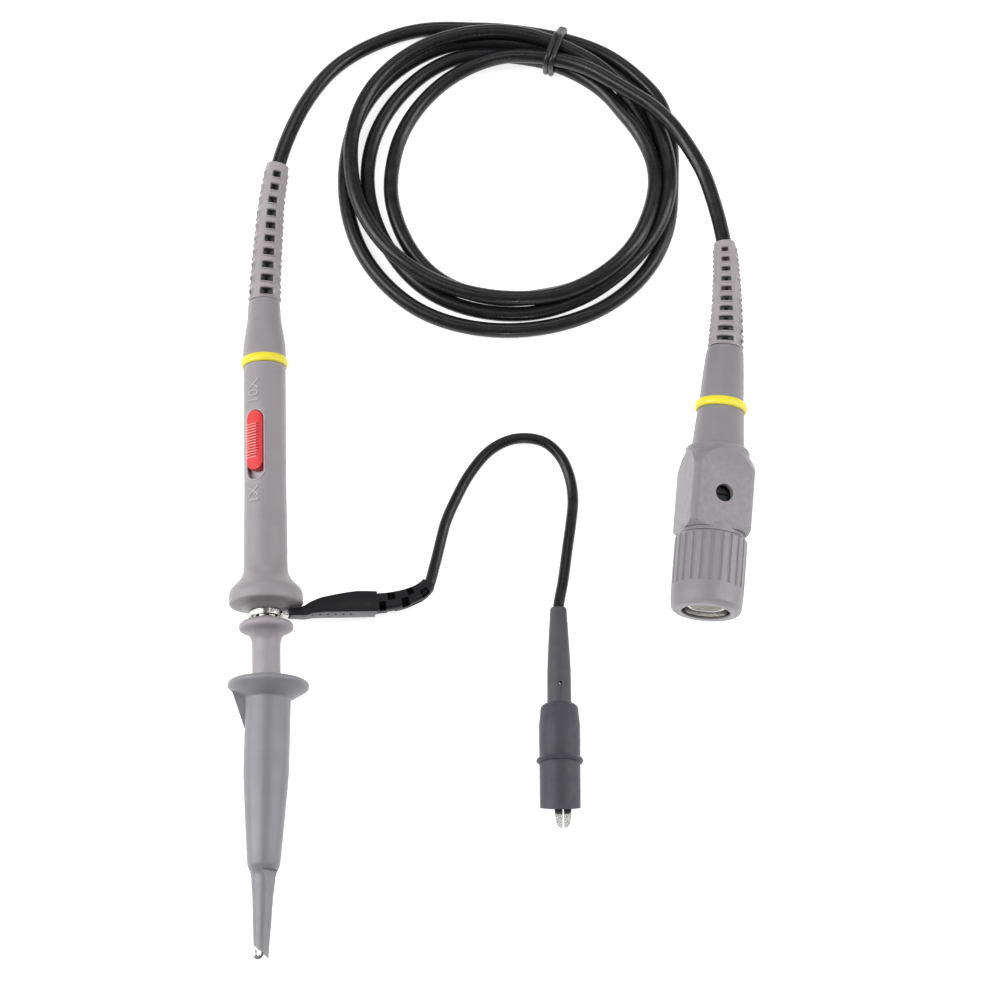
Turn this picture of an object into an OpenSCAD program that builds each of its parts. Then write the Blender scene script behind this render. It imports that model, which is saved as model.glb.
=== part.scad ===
// Passive oscilloscope probe: probe head with a retractable hook tip, ground
// lead with a covered alligator clip, coiled cable and bayonet connector.
// Millimetres, +Z up. The object lies on the plane z = 0 with the head along Y.

/* [Probe head] */
// Diameter of the barrel behind the finger guard
barrel_d = 8.9; // [8.8:0.1:9.1]
// Diameter of the finger guard rim
guard_d = 15.2; // [14.6:0.1:15.8]
// Wall thickness of the barrel shell
shell_wall = 1.1; // [1.0:0.05:1.2]
// Diameter of the marker ring on the barrel
marker_d = 9.75; // [9.4:0.05:10]

/* [Range switch] */
// Length of the slot for the switch slider
slot_len = 15.2; // [15.1:0.05:15.4]
// Width of the slot
slot_w = 3.9; // [3.8:0.05:4.1]
// Length of the slider
slider_len = 12.95; // [12.6:0.05:13.0]
// Width of the slider
slider_w = 3.56; // [3.4:0.02:3.6]
// Angle of the switch from the top of the barrel
switch_a = 26; // [20:1:40]
// Number of grip grooves across the slider
grip_n = 12; // [8:1:13]

/* [Hook tip] */
// Diameter of the finger flange on the retractable sleeve
flange_d = 16.6; // [16.2:0.1:16.8]
// Diameter of the sleeve behind its taper
sleeve_d = 9.2; // [9.1:0.02:9.4]
// Diameter of the stem that the sleeve slides on
stem_d = 5.8; // [5.7:0.05:5.85]
// Diameter of the collar at the top of the stem
collar_d = 11.15; // [10.6:0.05:11.6]
// Diameter of the hook wire
hook_wire_d = 0.8; // [0.7:0.02:0.9]
// Turns of the sleeve spring
spring_turns = 7; // [5:1:8]

/* [Cables] */
// Diameter of the main coaxial cable
cable_d = 3.2; // [3.0:0.1:3.3]
// Diameter of the ground lead wire
lead_d = 2.3; // [2.0:0.1:2.3]

/* [Ground lead] */
// Diameter of the alligator clip cover
cover_d = 8.3; // [8.0:0.1:8.4]
// Diameter over the ridge of the clip cover
ridge_d = 9.6; // [9.2:0.1:9.6]

/* [Bayonet connector] */
// Diameter of the fluted coupling sleeve
bnc_sleeve_d = 15.04; // [14.8:0.02:15.2]
// Width across the flats of the compensation housing
housing_w = 13.4; // [13.2:0.05:13.5]
// Number of flutes round the coupling sleeve
flute_n = 24; // [20:1:30]
// Diameter of the trimmer access hole
trim_hole_d = 3.8; // [3.5:0.1:4.0]
// Outside diameter of the outer contact
contact_d = 8.1; // [8.05:0.05:8.15]

/* [Hidden] */
$fn = 72;

// height of the head axis above the plane
axis_h = 8.4;
// connector: origin at the joint between housing and sleeve, turned in plane
bnc_pos = [92.1, -0.3, 7.9];
bnc_a = 7;
// trimmer's place along the housing
trim_z = 7.6;
// lean of the housing flats from the top
flat_a = 15;
// lean and sideways offset of the sleeve and hook wire on the stem, which has play
tip_a = 1.85;
tip_x = 0.4;
tip_y = -30;
// alligator clip: origin where the cover starts, turned in plane
gator_pos = [59.4, -37, ridge_d / 2];
gator_a = 1.5;
// downward slope of the ground boot from the head axis
boot_a = 11.6;
// centre of the coil
coil_c = [53.4, 83.6, 0];
coil_ri = 27;
coil_ro = 37;
coil_h = 5.9;
// where the tie goes round the coil
tie_a = 70;
// pivot of the moving jaw, below the cover's start
jaw_z = -15;

// routes, as round numbers
boot_route = [[0, 50, 8.4], [0, 54.25, 8.4], [0.1, 54.35, 8.4], [0.3, 59, 8.4], [0.65, 64, 8.4],
  [1.1, 70, 8.4], [1.6, 76, 8.4], [2.4, 81.5, 8.4], [3.1, 85.5, 8.4]];
boot_r = [2.25, 2.25, 3.3, 3.18, 3.06, 2.92, 2.76, 2.6, 2.5];
front_route = [[0, 43, 8.4], [0, 50, 8.4], [0.1, 54.35, 8.4], [0.3, 59, 8.4], [0.65, 64, 8.4],
  [1.1, 70, 8.4], [1.6, 76, 8.4], [2.4, 81.5, 8.4], [3.1, 85.5, 8.4], [4.1, 89, 7.9],
  [5.2, 92.6, 7.1], [7.8, 99.4, 5.5], [10.6, 104.8, 4.1], [14.3, 110.2, 2.8], [18.7, 114.1, 2],
  [23.8, 117.1, 1.6], [31.2, 119.8, 1.6], [38.3, 120.7, 1.6], [45, 120.4, 1.6], [50, 119.6, 1.6]];
rear_route = [[69.5, 108.2, 5.6], [73.8, 106, 7.2], [79.2, 102, 7.5], [84.5, 97.5, 7.5], [89.2, 91.7, 7.4],
  [92.3, 85.9, 7.2], [94.2, 81.5, 7], [96.1, 74.2, 7.3], [97.6, 68.5, 7.7], [98.25, 65, 7.9], [98.3, 63.4, 7.9],
  [98.35, 60.6, 7.9], [98.3, 57.4, 7.9], [98.1, 52, 7.9], [97.85, 48.3, 7.9], [97.4, 43, 7.9],
  [97.15, 40.85, 7.9], [96.73, 37.42, 7.9], [95.06, 23.8, 7.9]];
// rear boot, from its plug in the cone to its end
rear_boot_route = [[96.73, 37.42, 7.9], [97.15, 40.85, 7.9], [97.16, 40.95, 7.9], [97.4, 43, 7.9], [97.85, 48.3, 7.9],
  [98.1, 52, 7.9], [98.3, 57.4, 7.9], [98.35, 60.6, 7.9], [98.3, 63.4, 7.9], [98.25, 65, 7.9]];
rear_boot_r = [2.35, 2.35, 3.6, 3.5, 3.22, 3.05, 2.75, 2.6, 2.45, 2.3];
lead_route = [[30.8, -9.5, 2.5], [33, -8, 2.1], [34.4, -3, 1.4], [35.7, 2, 1.2], [37, 6.5, 1.2],
  [39.2, 11.5, 1.2], [42, 16.8, 1.2], [46.2, 21.6, 1.2], [50.8, 24.2, 1.2],
  [55.2, 24.6, 1.2], [59, 23.2, 1.2], [62, 19.8, 1.2], [63.6, 15.2, 1.2],
  [64, 10.4, 1.3], [63.4, 5.4, 1.5], [62.5, 0, 2.3], [61.2, -8, 3.9], [60, -14, 4.8],
  [59.85, -20, 4.8], [59.64, -28, 4.8]];
relief_route = [[22, -11.7, 3.9], [25.4, -11.25, 3.3], [28.4, -10.5, 2.8], [31, -9.4, 2.5],
  [33, -8, 2.2]];
relief_r = [1.9, 1.85, 1.75, 1.65, 1.5];

// points on a smooth curve through the given points
function cr(a, b, c, d, t) = 0.5 * (2 * b + (c - a) * t + (2 * a - 5 * b + 4 * c - d) * t * t
  + (3 * b - a - 3 * c + d) * t * t * t);
function smooth(p, n) = [for (i = [0:len(p) - 2]) for (k = [0:n - 1])
  cr(p[max(i - 1, 0)], p[i], p[i + 1], p[min(i + 2, len(p) - 1)], k / n), p[len(p) - 1]];
function unit(v) = v / norm(v);
function tangent(p, i) = unit(p[min(i + 1, len(p) - 1)] - p[max(i - 1, 0)]);
function side(t) = unit(cross(t, [0, 0, 1]));
function ring(p, i, r, n) = let (t = tangent(p, i), s = side(t), u = cross(s, t))
  [for (k = [0:n - 1]) p[i] + r * cos(360 * (k + 0.5) / n) * s + r * sin(360 * (k + 0.5) / n) * u];
function radius(r, i) = is_list(r) ? r[i] : r;
function flip(f) = [for (j = [len(f) - 1:-1:0]) f[j]];

// solid tube swept along a path, with one radius or one for each point
module sweep(p, r, n = 8) {
  m = len(p);
  pts = [for (i = [0:m - 1]) each ring(p, i, radius(r, i), n)];
  faces = concat([[for (k = [0:n - 1]) k]], [[for (k = [n - 1:-1:0]) (m - 1) * n + k]],
    [for (i = [0:m - 2]) for (k = [0:n - 1]) [i * n + k, (i + 1) * n + k, (i + 1) * n + (k + 1) % n]],
    [for (i = [0:m - 2]) for (k = [0:n - 1]) [i * n + k, (i + 1) * n + (k + 1) % n, i * n + (k + 1) % n]]);
  polyhedron(pts, [for (f = faces) flip(f)], convexity = 8);
}
// the same, with a bore of one radius
module sweep_hollow(p, r, ri, n = 16) {
  m = len(p);
  out = [for (i = [0:m - 1]) each ring(p, i, radius(r, i), n)];
  inn = [for (i = [0:m - 1]) each ring(p, i, ri, n)];
  o = m * n;
  faces = concat(
    [for (i = [0:m - 2]) for (k = [0:n - 1]) [i * n + k, (i + 1) * n + k, (i + 1) * n + (k + 1) % n]],
    [for (i = [0:m - 2]) for (k = [0:n - 1]) [i * n + k, (i + 1) * n + (k + 1) % n, i * n + (k + 1) % n]],
    [for (i = [0:m - 2]) for (k = [0:n - 1]) [o + i * n + k, o + (i + 1) * n + (k + 1) % n, o + (i + 1) * n + k]],
    [for (i = [0:m - 2]) for (k = [0:n - 1]) [o + i * n + k, o + i * n + (k + 1) % n, o + (i + 1) * n + (k + 1) % n]],
    [for (k = [0:n - 1]) [k, (k + 1) % n, o + (k + 1) % n]],
    [for (k = [0:n - 1]) [k, o + (k + 1) % n, o + k]],
    [for (k = [0:n - 1]) [(m - 1) * n + k, o + (m - 1) * n + (k + 1) % n, (m - 1) * n + (k + 1) % n]],
    [for (k = [0:n - 1]) [(m - 1) * n + k, o + (m - 1) * n + k, o + (m - 1) * n + (k + 1) % n]]);
  polyhedron(concat(out, inn), [for (f = faces) flip(f)], convexity = 8);
}
// turned body from outline points [radius, position along the axis]
module lathe(p) { rotate_extrude() polygon(p); }
module tube(ro, ri, z0, z1) {
  translate([0, 0, z0]) difference() {
    cylinder(r = ro, h = z1 - z0);
    translate([0, 0, -1]) cylinder(r = ri, h = z1 - z0 + 2);
  }
}
module rod(r, z0, z1) { translate([0, 0, z0]) cylinder(r = r, h = z1 - z0); }
// axis frames: inside them z runs along the piece and -y points up
module on_head() { translate([0, 0, axis_h]) rotate([-90, 0, 0]) children(); }
module on_tip() { translate([tip_x, tip_y, axis_h]) rotate([0, 0, -tip_a]) rotate([-90, 0, 0]) translate([0, 0, -tip_y]) children(); }
module on_bnc() { translate(bnc_pos) rotate([0, 0, -bnc_a]) rotate([-90, 0, 0]) children(); }
module on_gator() { translate(gator_pos) rotate([0, 0, -gator_a]) rotate([-90, 0, 0]) children(); }
// turns a piece built on the top line by an angle towards +X
module lean(a) { rotate([0, 0, a]) children(); }

/* ---- probe head ---- */

module handle_shell() {
  r = barrel_d / 2;
  g = guard_d / 2;
  outline = concat([[r - 0.03, 39.25]], smooth([[r - 0.02, 38], [r - 0.05, 26], [r - 0.06, 12], [r + 0.03, 2],
    [r + 0.06, -4.2], [r + 0.28, -6.1], [r + 0.95, -7.4], [g - 1.2, -8.55], [g - 0.45, -9.35],
    [g - 0.1, -10.1], [g, -10.9]], 3),
    [[g, -12.1]], smooth([[g - 0.04, -12.35], [g - 0.2, -12.6], [g - 0.6, -12.75]], 2),
    [[5, -13.15], [3.5, -13.85], [2.64, -13.85], [2.64, -9], [r - shell_wall, -9],
    [r - shell_wall, 35.4], [3.75, 35.4], [3.75, 39.25]]);
  color([0.58, 0.57, 0.58]) on_head() difference() {
    lathe(outline);
    lean(-switch_a) switch_slot();
  }
}
// stadium-shaped prism through the top of the barrel
module switch_slot() {
  z0 = 28.6 - slot_len;
  for (z = [z0 + slot_w / 2, 28.6 - slot_w / 2])
    translate([0, -2, z]) rotate([90, 0, 0]) cylinder(d = slot_w, h = 6);
  translate([-slot_w / 2, -8, z0 + slot_w / 2]) cube([slot_w, 6, slot_len - slot_w]);
}

module handle_rear_cone() {
  r = barrel_d / 2;
  outline = concat([[3.68, 36], [3.68, 39.28], [4.15, 39.28], [4.15, 41.18]],
    smooth([[r + 0.08, 41.18], [r + 0.05, 42.8], [r - 0.07, 44.3], [4.18, 46], [3.88, 47.8],
    [3.64, 49.4], [3.5, 51], [3.43, 52.6], [3.36, 53.6], [3.15, 54.05], [2.8, 54.2]], 2),
    [[2.3, 54.2], [2.3, 40], [2.9, 38.5], [2.9, 36]]);
  color([0.55, 0.54, 0.55]) on_head() lathe(outline);
}

module tail_boot() {
  color([0.65, 0.63, 0.64]) sweep_hollow(boot_route, boot_r, cable_d / 2 + 0.12);
}

module head_marker_ring() {
  color([0.93, 0.88, 0.25]) on_head()
    lathe([[4.17, 39.3], [4.6, 39.3], [marker_d / 2 - 0.06, 39.55], [marker_d / 2, 39.9],
      [marker_d / 2, 40.55], [marker_d / 2 - 0.06, 40.9], [4.6, 41.15], [4.17, 41.15]]);
}

module switch_pcb() {
  color([0.1, 0.4, 0.2]) on_head() lean(-switch_a)
    translate([-2.8, -0.5, 2]) cube([5.6, 0.8, 31]);
}
module switch_pads() {
  color([0.85, 0.7, 0.3]) on_head() lean(-switch_a)
    for (z = [13, 18.5, 24]) translate([-1.6, -0.7, z]) cube([3.2, 0.2, 3]);
}
module divider_resistor() {
  color([0.3, 0.45, 0.7]) on_head() {
    rod(1.15, -6.6, -0.4);
    rod(0.3, -8, -6.6);
    rod(0.3, -0.4, 2);
  }
}
module divider_capacitor() {
  color([0.8, 0.5, 0.25]) on_head() lean(-switch_a)
    translate([-1.5, 1.35, -6]) cube([3, 1.2, 4.4]);
}
module core_wire_front() {
  color([0.8, 0.45, 0.3]) on_head() rod(0.35, 33, 43);
}
module cable_crimp_front() {
  color([0.75, 0.75, 0.76]) on_head() tube(2.15, cable_d / 2 + 0.05, 43.4, 49.8);
}

module ground_barrel() {
  color([0.8, 0.8, 0.8]) on_head() difference() {
    lathe([[1.75, -7], [3.2, -7], [3.2, -8.6], [2.6, -8.6], [2.6, -13.95], [2.75, -13.95],
      [2.75, -15.45], [2.1, -15.45], [2.1, -26.2], [1.95, -26.5], [1.75, -26.5]]);
    for (a = [0:45:315]) rotate([0, 0, a + 10]) translate([2.15, -0.4, -15.6]) cube([2, 0.8, 0.95]);
  }
}
module tip_insulator() {
  color([0.9, 0.9, 0.88]) on_head()
    lathe([[0.5, -10], [1.73, -10], [1.73, -26.6], [1.6, -27.2], [1.1, -30.6], [0.5, -30.8]]);
}
module probe_pin() {
  color([0.85, 0.75, 0.45]) on_head()
    lathe([[0, -8], [0.45, -8], [0.45, -35.9], [0.12, -36.9], [0, -36.9]]);
}

module switch_slider() {
  z0 = 28.4 - slider_len;
  color([0.85, 0.16, 0.17]) on_head() lean(-switch_a) difference() {
    union() {
      intersection() {
        union() {
          for (z = [z0 + slider_w / 2, 28.4 - slider_w / 2])
            translate([0, -2.2, z]) rotate([90, 0, 0]) cylinder(d = slider_w, h = 4);
          translate([-slider_w / 2, -6.2, z0 + slider_w / 2]) cube([slider_w, 4, slider_len - slider_w]);
        }
        rod(barrel_d / 2 + 0.22, z0 - 1, 30);
      }
      translate([-2.25, -2.35, z0 + 0.4]) cube([4.5, 0.85, slider_len + 0.3]);
    }
    for (k = [0:grip_n - 1]) translate([-1.25, -barrel_d / 2 - 1, 18.4 + k * 0.62])
      cube([2.5, 1.1, 0.28]);
  }
}
module switch_wiper() {
  color([0.85, 0.7, 0.3]) on_head() lean(-switch_a) {
    translate([-1.2, -1.5, 16.5]) cube([2.4, 0.3, 9.5]);
    for (z = [17, 22.5]) translate([-0.9, -1.2, z]) cube([1.8, 0.3, 1.6]);
  }
}

/* ---- hook tip ---- */

module hook_body() {
  c = collar_d / 2;
  s = stem_d / 2;
  outline = concat([[2.15, -15.8], [3.3, -15.8]],
    smooth([[4.4, -16.1], [5.1, -16.45], [c - 0.05, -16.9], [c, -17.2]], 2),
    [[c, -17.55]], smooth([[c - 0.15, -17.9], [c - 0.7, -18.25], [c - 1.5, -18.6], [3.5, -19.15],
    [3.1, -19.9], [s + 0.03, -20.8], [s, -21.8]], 2),
    [[s, -30.95], [3.55, -30.95], [3.55, -33.1], [1.7, -33.1], [1.7, -37.2], [1, -37.2],
    [1, -31.6], [1.85, -31.6], [1.85, -27.2], [2.15, -27.2]]);
  color([0.63, 0.61, 0.62]) on_head() lathe(outline);
}
module hook_socket() {
  color([0.85, 0.75, 0.45]) on_head() tube(0.96, 0.5, -37.2, -31.7);
}
module hook_wire() {
  w = hook_wire_d / 2;
  color([0.8, 0.8, 0.8]) on_tip() {
    rod(0.96, -38.2, -37.25);
    rod(w, -84.3, -38.2);
    translate([-0.65, 0, -84.3]) rotate([90, 0, 0]) rotate([0, 0, 180])
      rotate_extrude(angle = 180) translate([0.65, 0]) circle(r = w);
    translate([-1.3, 0, -84.3]) cylinder(r = w, h = 0.75);
  }
}
module hook_spring() {
  n = spring_turns * 12;
  helix = [for (i = [0:n]) [2.85 * cos(i * 30), 2.85 * sin(i * 30), -33.5 - 12.5 * i / n]];
  color([0.78, 0.78, 0.78]) on_tip() sweep(helix, 0.28, 6);
}
module hook_sleeve() {
  f = flange_d / 2;
  s = sleeve_d / 2;
  outline = concat([[3.4, -27.8], [3.7, -27.8]],
    smooth([[5, -28.1], [f - 1, -28.75], [f - 0.35, -29], [f - 0.05, -29.35], [f, -29.65],
    [f - 0.07, -30], [f - 0.35, -30.4], [6.6, -31.3], [5.2, -32.15], [s + 0.06, -32.6], [s, -33.4]], 2),
    [[s, -47.2]], smooth([[s - 0.03, -48.3], [4.45, -50.4], [4.2, -54.1], [3.86, -59], [3.5, -63.8],
    [3.28, -66.3], [3.1, -67], [2.7, -67.9], [2.47, -68.7], [2.36, -70], [2.06, -73.6],
    [1.84, -78.3], [1.56, -83], [1.45, -86]], 2),
    [[0.7, -86], [0.7, -62], [2, -60], [2, -46.4], [3.96, -46.4], [3.96, -30.6], [3.4, -30.6]]);
  color([0.56, 0.56, 0.58]) on_tip() {
    difference() {
      lathe(outline);
      // oblique end
      translate([0.1, -4, -83.95]) rotate([0, 41, 0]) translate([-6, 0, -8]) cube([12, 8, 8]);
      // flat along one side of the nose
      lean(49) translate([-4, -1.82, -67.6]) rotate([-2.65, 0, 0]) translate([0, -4, -22]) cube([8, 4, 22]);
    }
    // web between flange and sleeve
    rotate([90, 0, 0]) linear_extrude(0.9, center = true)
      polygon([[-7.5, -30.5], [-4.2, -31.2], [-4.2, -38.9], [-4.56, -38.7], [-7.25, -31.2]]);
  }
}

/* ---- ground lead ---- */

// frame of the boot: x runs outwards along the slope, y along the head axis
module on_boot() { translate([0, 0, axis_h]) rotate([0, boot_a, 0]) children(); }

module ground_clip() {
  color([0.82, 0.82, 0.82]) {
    on_head() difference() {
      tube(3.42, 2.83, -15.15, -14.2);
      rotate([0, 0, 160]) translate([2, -0.35, -16]) cube([3, 0.7, 3]);
    }
    on_boot() translate([3.1, -14.95, -1.1]) cube([5, 0.5, 2.2]);
  }
}
module ground_boot() {
  plan = smooth([[4.6, -13.95], [6.2, -13.85], [7.8, -13.35], [9, -12.6], [12, -11.3], [15.5, -9.95],
    [18.5, -9.4], [22.6, -9.4]], 2);
  back = smooth([[22.8, -14.1], [18, -14.45], [12, -14.75], [8, -15], [5.2, -15.1], [4.6, -14.9]], 2);
  color([0.12, 0.12, 0.13]) {
    on_boot() intersection() {
      translate([0, 0, -4]) linear_extrude(8) polygon(concat(plan, [[23, -9.8], [23, -13.8]], back));
      rotate([90, 0, 0]) linear_extrude(20)
        polygon([[4.6, -1.5], [8, -1.75], [14, -1.9], [22.6, -1.9], [23, -1.6],
          [23, 1.6], [22.6, 1.9], [14, 1.9], [8, 1.75], [4.6, 1.5]]);
    }
    sweep(relief_route, relief_r, 12);
  }
}
module ground_lead_wire() {
  color([0.1, 0.1, 0.11]) sweep(lead_route, lead_d / 2, 8);
}
module clip_tail_sleeve() {
  color([0.38, 0.38, 0.41]) on_gator() difference() {
    lathe([[1.62, 23], [1.7, 22.7], [1.98, 18], [2.3, 12.5], [2.42, 9.5], [2.45, 7], [2.45, 1.6],
      [3.1, 1.6], [3.1, 0.9], [1.75, 0.9], [1.75, 11.6], [1.21, 11.6], [1.21, 23]]);
    translate([0.2, -1.2, 6.6]) rotate([90, 0, 0]) cylinder(d = 0.7, h = 3);
  }
}
module clip_cover() {
  c = cover_d / 2;
  color([0.33, 0.33, 0.37]) on_gator() {
    difference() {
      lathe(concat([[2.5, 2.75]], smooth([[2.9, 2.7], [3.4, 2.4], [c - 0.34, 1.9], [c - 0.2, 0.6], [c - 0.08, -0.6],
        [c + 0.03, -1.9], [c + 0.04, -5], [c, -8.2]], 2),
        [[c, -8.5]], smooth([[c + 0.35, -8.62], [ridge_d / 2, -9.1], [c + 0.35, -9.58]], 2),
        [[c, -9.7], [c - 0.04, -20], [c - 0.65, -20], [c - 0.65, 0.6], [3.2, 1.8], [2.5, 1.9]]));
      // mouth cut at a slant, longer at the top
      translate([0, 0, -18.8]) rotate([16, 0, 0]) translate([-10, -10, -10]) cube([20, 20, 10]);
    }
  }
}
module clip_fixed_jaw() {
  color([0.8, 0.8, 0.8]) on_gator() {
    rotate([90, 0, 0]) linear_extrude(2.4, center = true)
      polygon([[0.43, -23.1], [0.05, -23.1], [-0.4, -22.9], [-0.75, -22.4], [-0.95, -21.7], [-1.05, -20.5],
        [-1.4, -17.5], [-1.9, -14], [-2.5, -6], [-2.3, 0], [-1.5, 1.5], [1.4, 1.5], [1.4, 0.5],
        [-0.9, 0.5], [-1.5, -0.8], [-1.75, -6], [-1.5, -15.6], [-0.1, -17.2], [0.43, -18]]);
    rod(1.6, 1.2, 8.8);
    difference() {
      rotate([90, 0, 0]) linear_extrude(3.2, center = true) union() {
        translate([0, jaw_z]) circle(r = 1.05);
        translate([-1.9, jaw_z - 1]) square([1.9, 2]);
      }
      translate([-1.45, -1.2, jaw_z - 1.5]) cube([3, 2.4, 3]);
      translate([0, 0, jaw_z]) rotate([90, 0, 0]) cylinder(r = 0.6, h = 6, center = true);
    }
  }
}
module clip_pin() {
  color([0.7, 0.7, 0.7]) on_gator() translate([0, 0, jaw_z]) rotate([90, 0, 0])
    cylinder(r = 0.58, h = 3.6, center = true);
}
module clip_spring() {
  color([0.6, 0.6, 0.62]) on_gator() translate([0, 0, jaw_z]) rotate([90, 0, 0])
    for (z = [-1.15, 0.6]) tube(0.98, 0.68, z, z + 0.55);
}
module clip_moving_jaw() {
  color([0.8, 0.8, 0.8]) on_gator() {
    rotate([90, 0, 0]) linear_extrude(2.4, center = true)
      polygon([[0.67, -23.1], [1.05, -23.1], [1.5, -22.9], [1.85, -22.4], [2.05, -21.7], [2.15, -20.5],
        [2.3, -17.5], [2.4, -14], [2.55, -10], [2.8, -4.5], [2.85, -3], [2.2, -3], [1.9, -6], [1.5, -12],
        [1.5, -15.6], [0.67, -17.4]]);
    rotate([90, 0, 0]) linear_extrude(0.9, center = true) difference() {
      union() {
        translate([0, jaw_z]) circle(r = 1.05);
        translate([0, jaw_z - 0.7]) square([1.7, 1.4]);
      }
      translate([0, jaw_z]) circle(r = 0.64);
    }
  }
}

/* ---- main cable ---- */

module cable_front() {
  color([0.08, 0.08, 0.09]) sweep(front_route, cable_d / 2, 8);
}
module tie_core() {
  rotate([0, 0, tie_a]) translate([27.3, -5, 1.3]) cube([8, 10, 3.9]);
}
module cable_coil() {
  m = coil_h / 2;
  color([0.08, 0.08, 0.09]) translate(coil_c) difference() {
    rotate_extrude($fn = 96) polygon([[coil_ri, 1.2], [coil_ri + 1.2, 0], [coil_ro - 1.2, 0],
      [coil_ro, 1.2], [coil_ro, coil_h - 1.2], [coil_ro - 1.2, coil_h], [coil_ri + 1.2, coil_h],
      [coil_ri, coil_h - 1.2]]);
    difference() {
      rotate([0, 0, tie_a]) translate([20, -1.6, -1]) cube([25, 3.2, coil_h + 4]);
      tie_core();
    }
  }
}
module cable_rear() {
  color([0.08, 0.08, 0.09]) sweep(rear_route, cable_d / 2, 8);
}
module cable_tie() {
  color([0.1, 0.1, 0.1]) translate(coil_c) difference() {
    rotate([0, 0, tie_a]) translate([26.1, -1.4, 0.02]) cube([10.4, 2.8, 6.4]);
    tie_core();
  }
}

/* ---- connector end ---- */

module bnc_boot() {
  color([0.65, 0.63, 0.64]) sweep_hollow(rear_boot_route, rear_boot_r, cable_d / 2 + 0.12);
}
module bnc_cone() {
  color([0.57, 0.56, 0.57]) on_bnc()
    lathe([[5.38, 19], [5.5, 19.2], [5.41, 20.2], [5.27, 22], [4.96, 26.5], [4.84, 27.3], [4.3, 27.3],
      [4.3, 29.3], [4.66, 29.3], [4.48, 33], [4.32, 35.8], [4.1, 38.6], [3.94, 40.4], [3.75, 41.1], [3.45, 41.4],
      [2.4, 41.4], [2.4, 19]]);
}
module bnc_marker_ring() {
  color([0.93, 0.88, 0.25]) on_bnc()
    lathe([[4.32, 27.35], [5.1, 27.35], [5.4, 27.6], [5.48, 28], [5.48, 28.6], [5.4, 29],
      [5.1, 29.25], [4.32, 29.25]]);
}
// square with round corners, leaning with the flats
module flats_prism(w, r, z0, z1) {
  lean(flat_a) translate([0, 0, z0]) linear_extrude(z1 - z0) union() {
    square([w, w - 2 * r], center = true);
    square([w - 2 * r, w], center = true);
    for (x = [-1, 1]) for (y = [-1, 1]) translate([x * (w / 2 - r), y * (w / 2 - r)]) circle(r = r);
  }
}
module comp_housing() {
  color([0.56, 0.55, 0.56]) on_bnc() difference() {
    union() {
      intersection() {
        flats_prism(housing_w, 1.5, 0, 18);
        lathe([[0, 0.2], [7.5, 0.2], [7.75, 0.35], [8.3, 0.75], [8.7, 1.15], [9.2, 1.8], [9.2, 12.7], [8.85, 13.4],
          [8.5, 14.2], [8.15, 15], [7.65, 15.9], [7.15, 16.7], [6.8, 17.2], [0, 17.25]]);
      }
      lathe([[0, 16.5], [6.7, 16.5], [6.7, 18.35], [6.45, 18.75], [0, 18.95]]);
      rod(7, -0.55, 1);
    }
    rod(5.2, 5.2, 16.2);
    rod(5.75, -1, 0.5);
    rod(4.54, -1, 6);
    rod(2.3, 16, 20);
    lean(flat_a) translate([0, -4, trim_z]) rotate([90, 0, 0]) cylinder(d = trim_hole_d, h = 6);
  }
}
module comp_pcb() {
  color([0.1, 0.4, 0.2]) on_bnc() lean(flat_a) translate([-4.2, -0.6, 5.9]) cube([8.4, 1, 10]);
}
module comp_resistor() {
  color([0.3, 0.45, 0.7]) on_bnc() lean(flat_a) translate([-2.2, 1.9, 0]) {
    rod(0.9, 9, 13.6);
    for (z = [8.2, 13.6]) rod(0.25, z, z + 0.8);
  }
}
module core_wire_rear() {
  color([0.8, 0.45, 0.3]) on_bnc() rod(0.3, 15.95, 24);
}
module cable_crimp_rear() {
  color([0.75, 0.75, 0.76]) on_bnc() tube(2.25, cable_d / 2 + 0.05, 24.4, 32);
}
module trimmer_body() {
  color([0.15, 0.15, 0.16]) on_bnc() lean(flat_a) translate([0, 0, trim_z]) rotate([90, 0, 0])
    difference() {
      rod(2.3, 0.7, 4.5);
      rod(1.45, 3, 5);
    }
}
module trimmer_rotor() {
  color([0.12, 0.12, 0.12]) on_bnc() lean(flat_a) translate([0, 0, trim_z]) rotate([90, 0, 0])
    difference() {
      rod(1.35, 3.15, 4.9);
      translate([-2, -0.25, 4.35]) cube([4, 0.5, 1]);
    }
}
module bnc_body() {
  c = contact_d / 2;
  color([0.8, 0.8, 0.8]) on_bnc()
    lathe([[3.45, -15.2], [c - 0.12, -15.2], [c, -14.9], [c, -7.4], [4.3, -7.4], [4.3, -6.2], [4.45, -6.2], [4.45, -1.05], [5.6, -1.05],
      [5.6, 0.25], [4.5, 0.25], [4.5, 5], [3.45, 5]]);
}
module bnc_insulator() {
  color([0.93, 0.93, 0.92]) on_bnc()
    lathe([[0.72, -12.6], [2.3, -12.6], [2.4, -12.4], [2.4, -8.6], [3.4, -8.6], [3.4, 4], [0.72, 4]]);
}
module bnc_pin() {
  color([0.88, 0.75, 0.4]) on_bnc()
    lathe([[0, -14.2], [0.3, -14.2], [0.68, -13.5], [0.68, 5.85], [0, 5.85]]);
}
module bnc_gasket() {
  color([0.75, 0.3, 0.2]) on_bnc() tube(4.8, 4.34, -7.3, -6.3);
}
module bnc_wave_washer() {
  color([0.7, 0.7, 0.7]) on_bnc() tube(5.7, 4.5, -1.4, -1.1);
}
module bnc_retaining_ring() {
  color([0.7, 0.7, 0.7]) on_bnc() difference() {
    tube(5.2, 4.47, -5.2, -4.7);
    translate([3, -0.8, -6]) cube([4, 1.6, 2]);
  }
}
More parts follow.
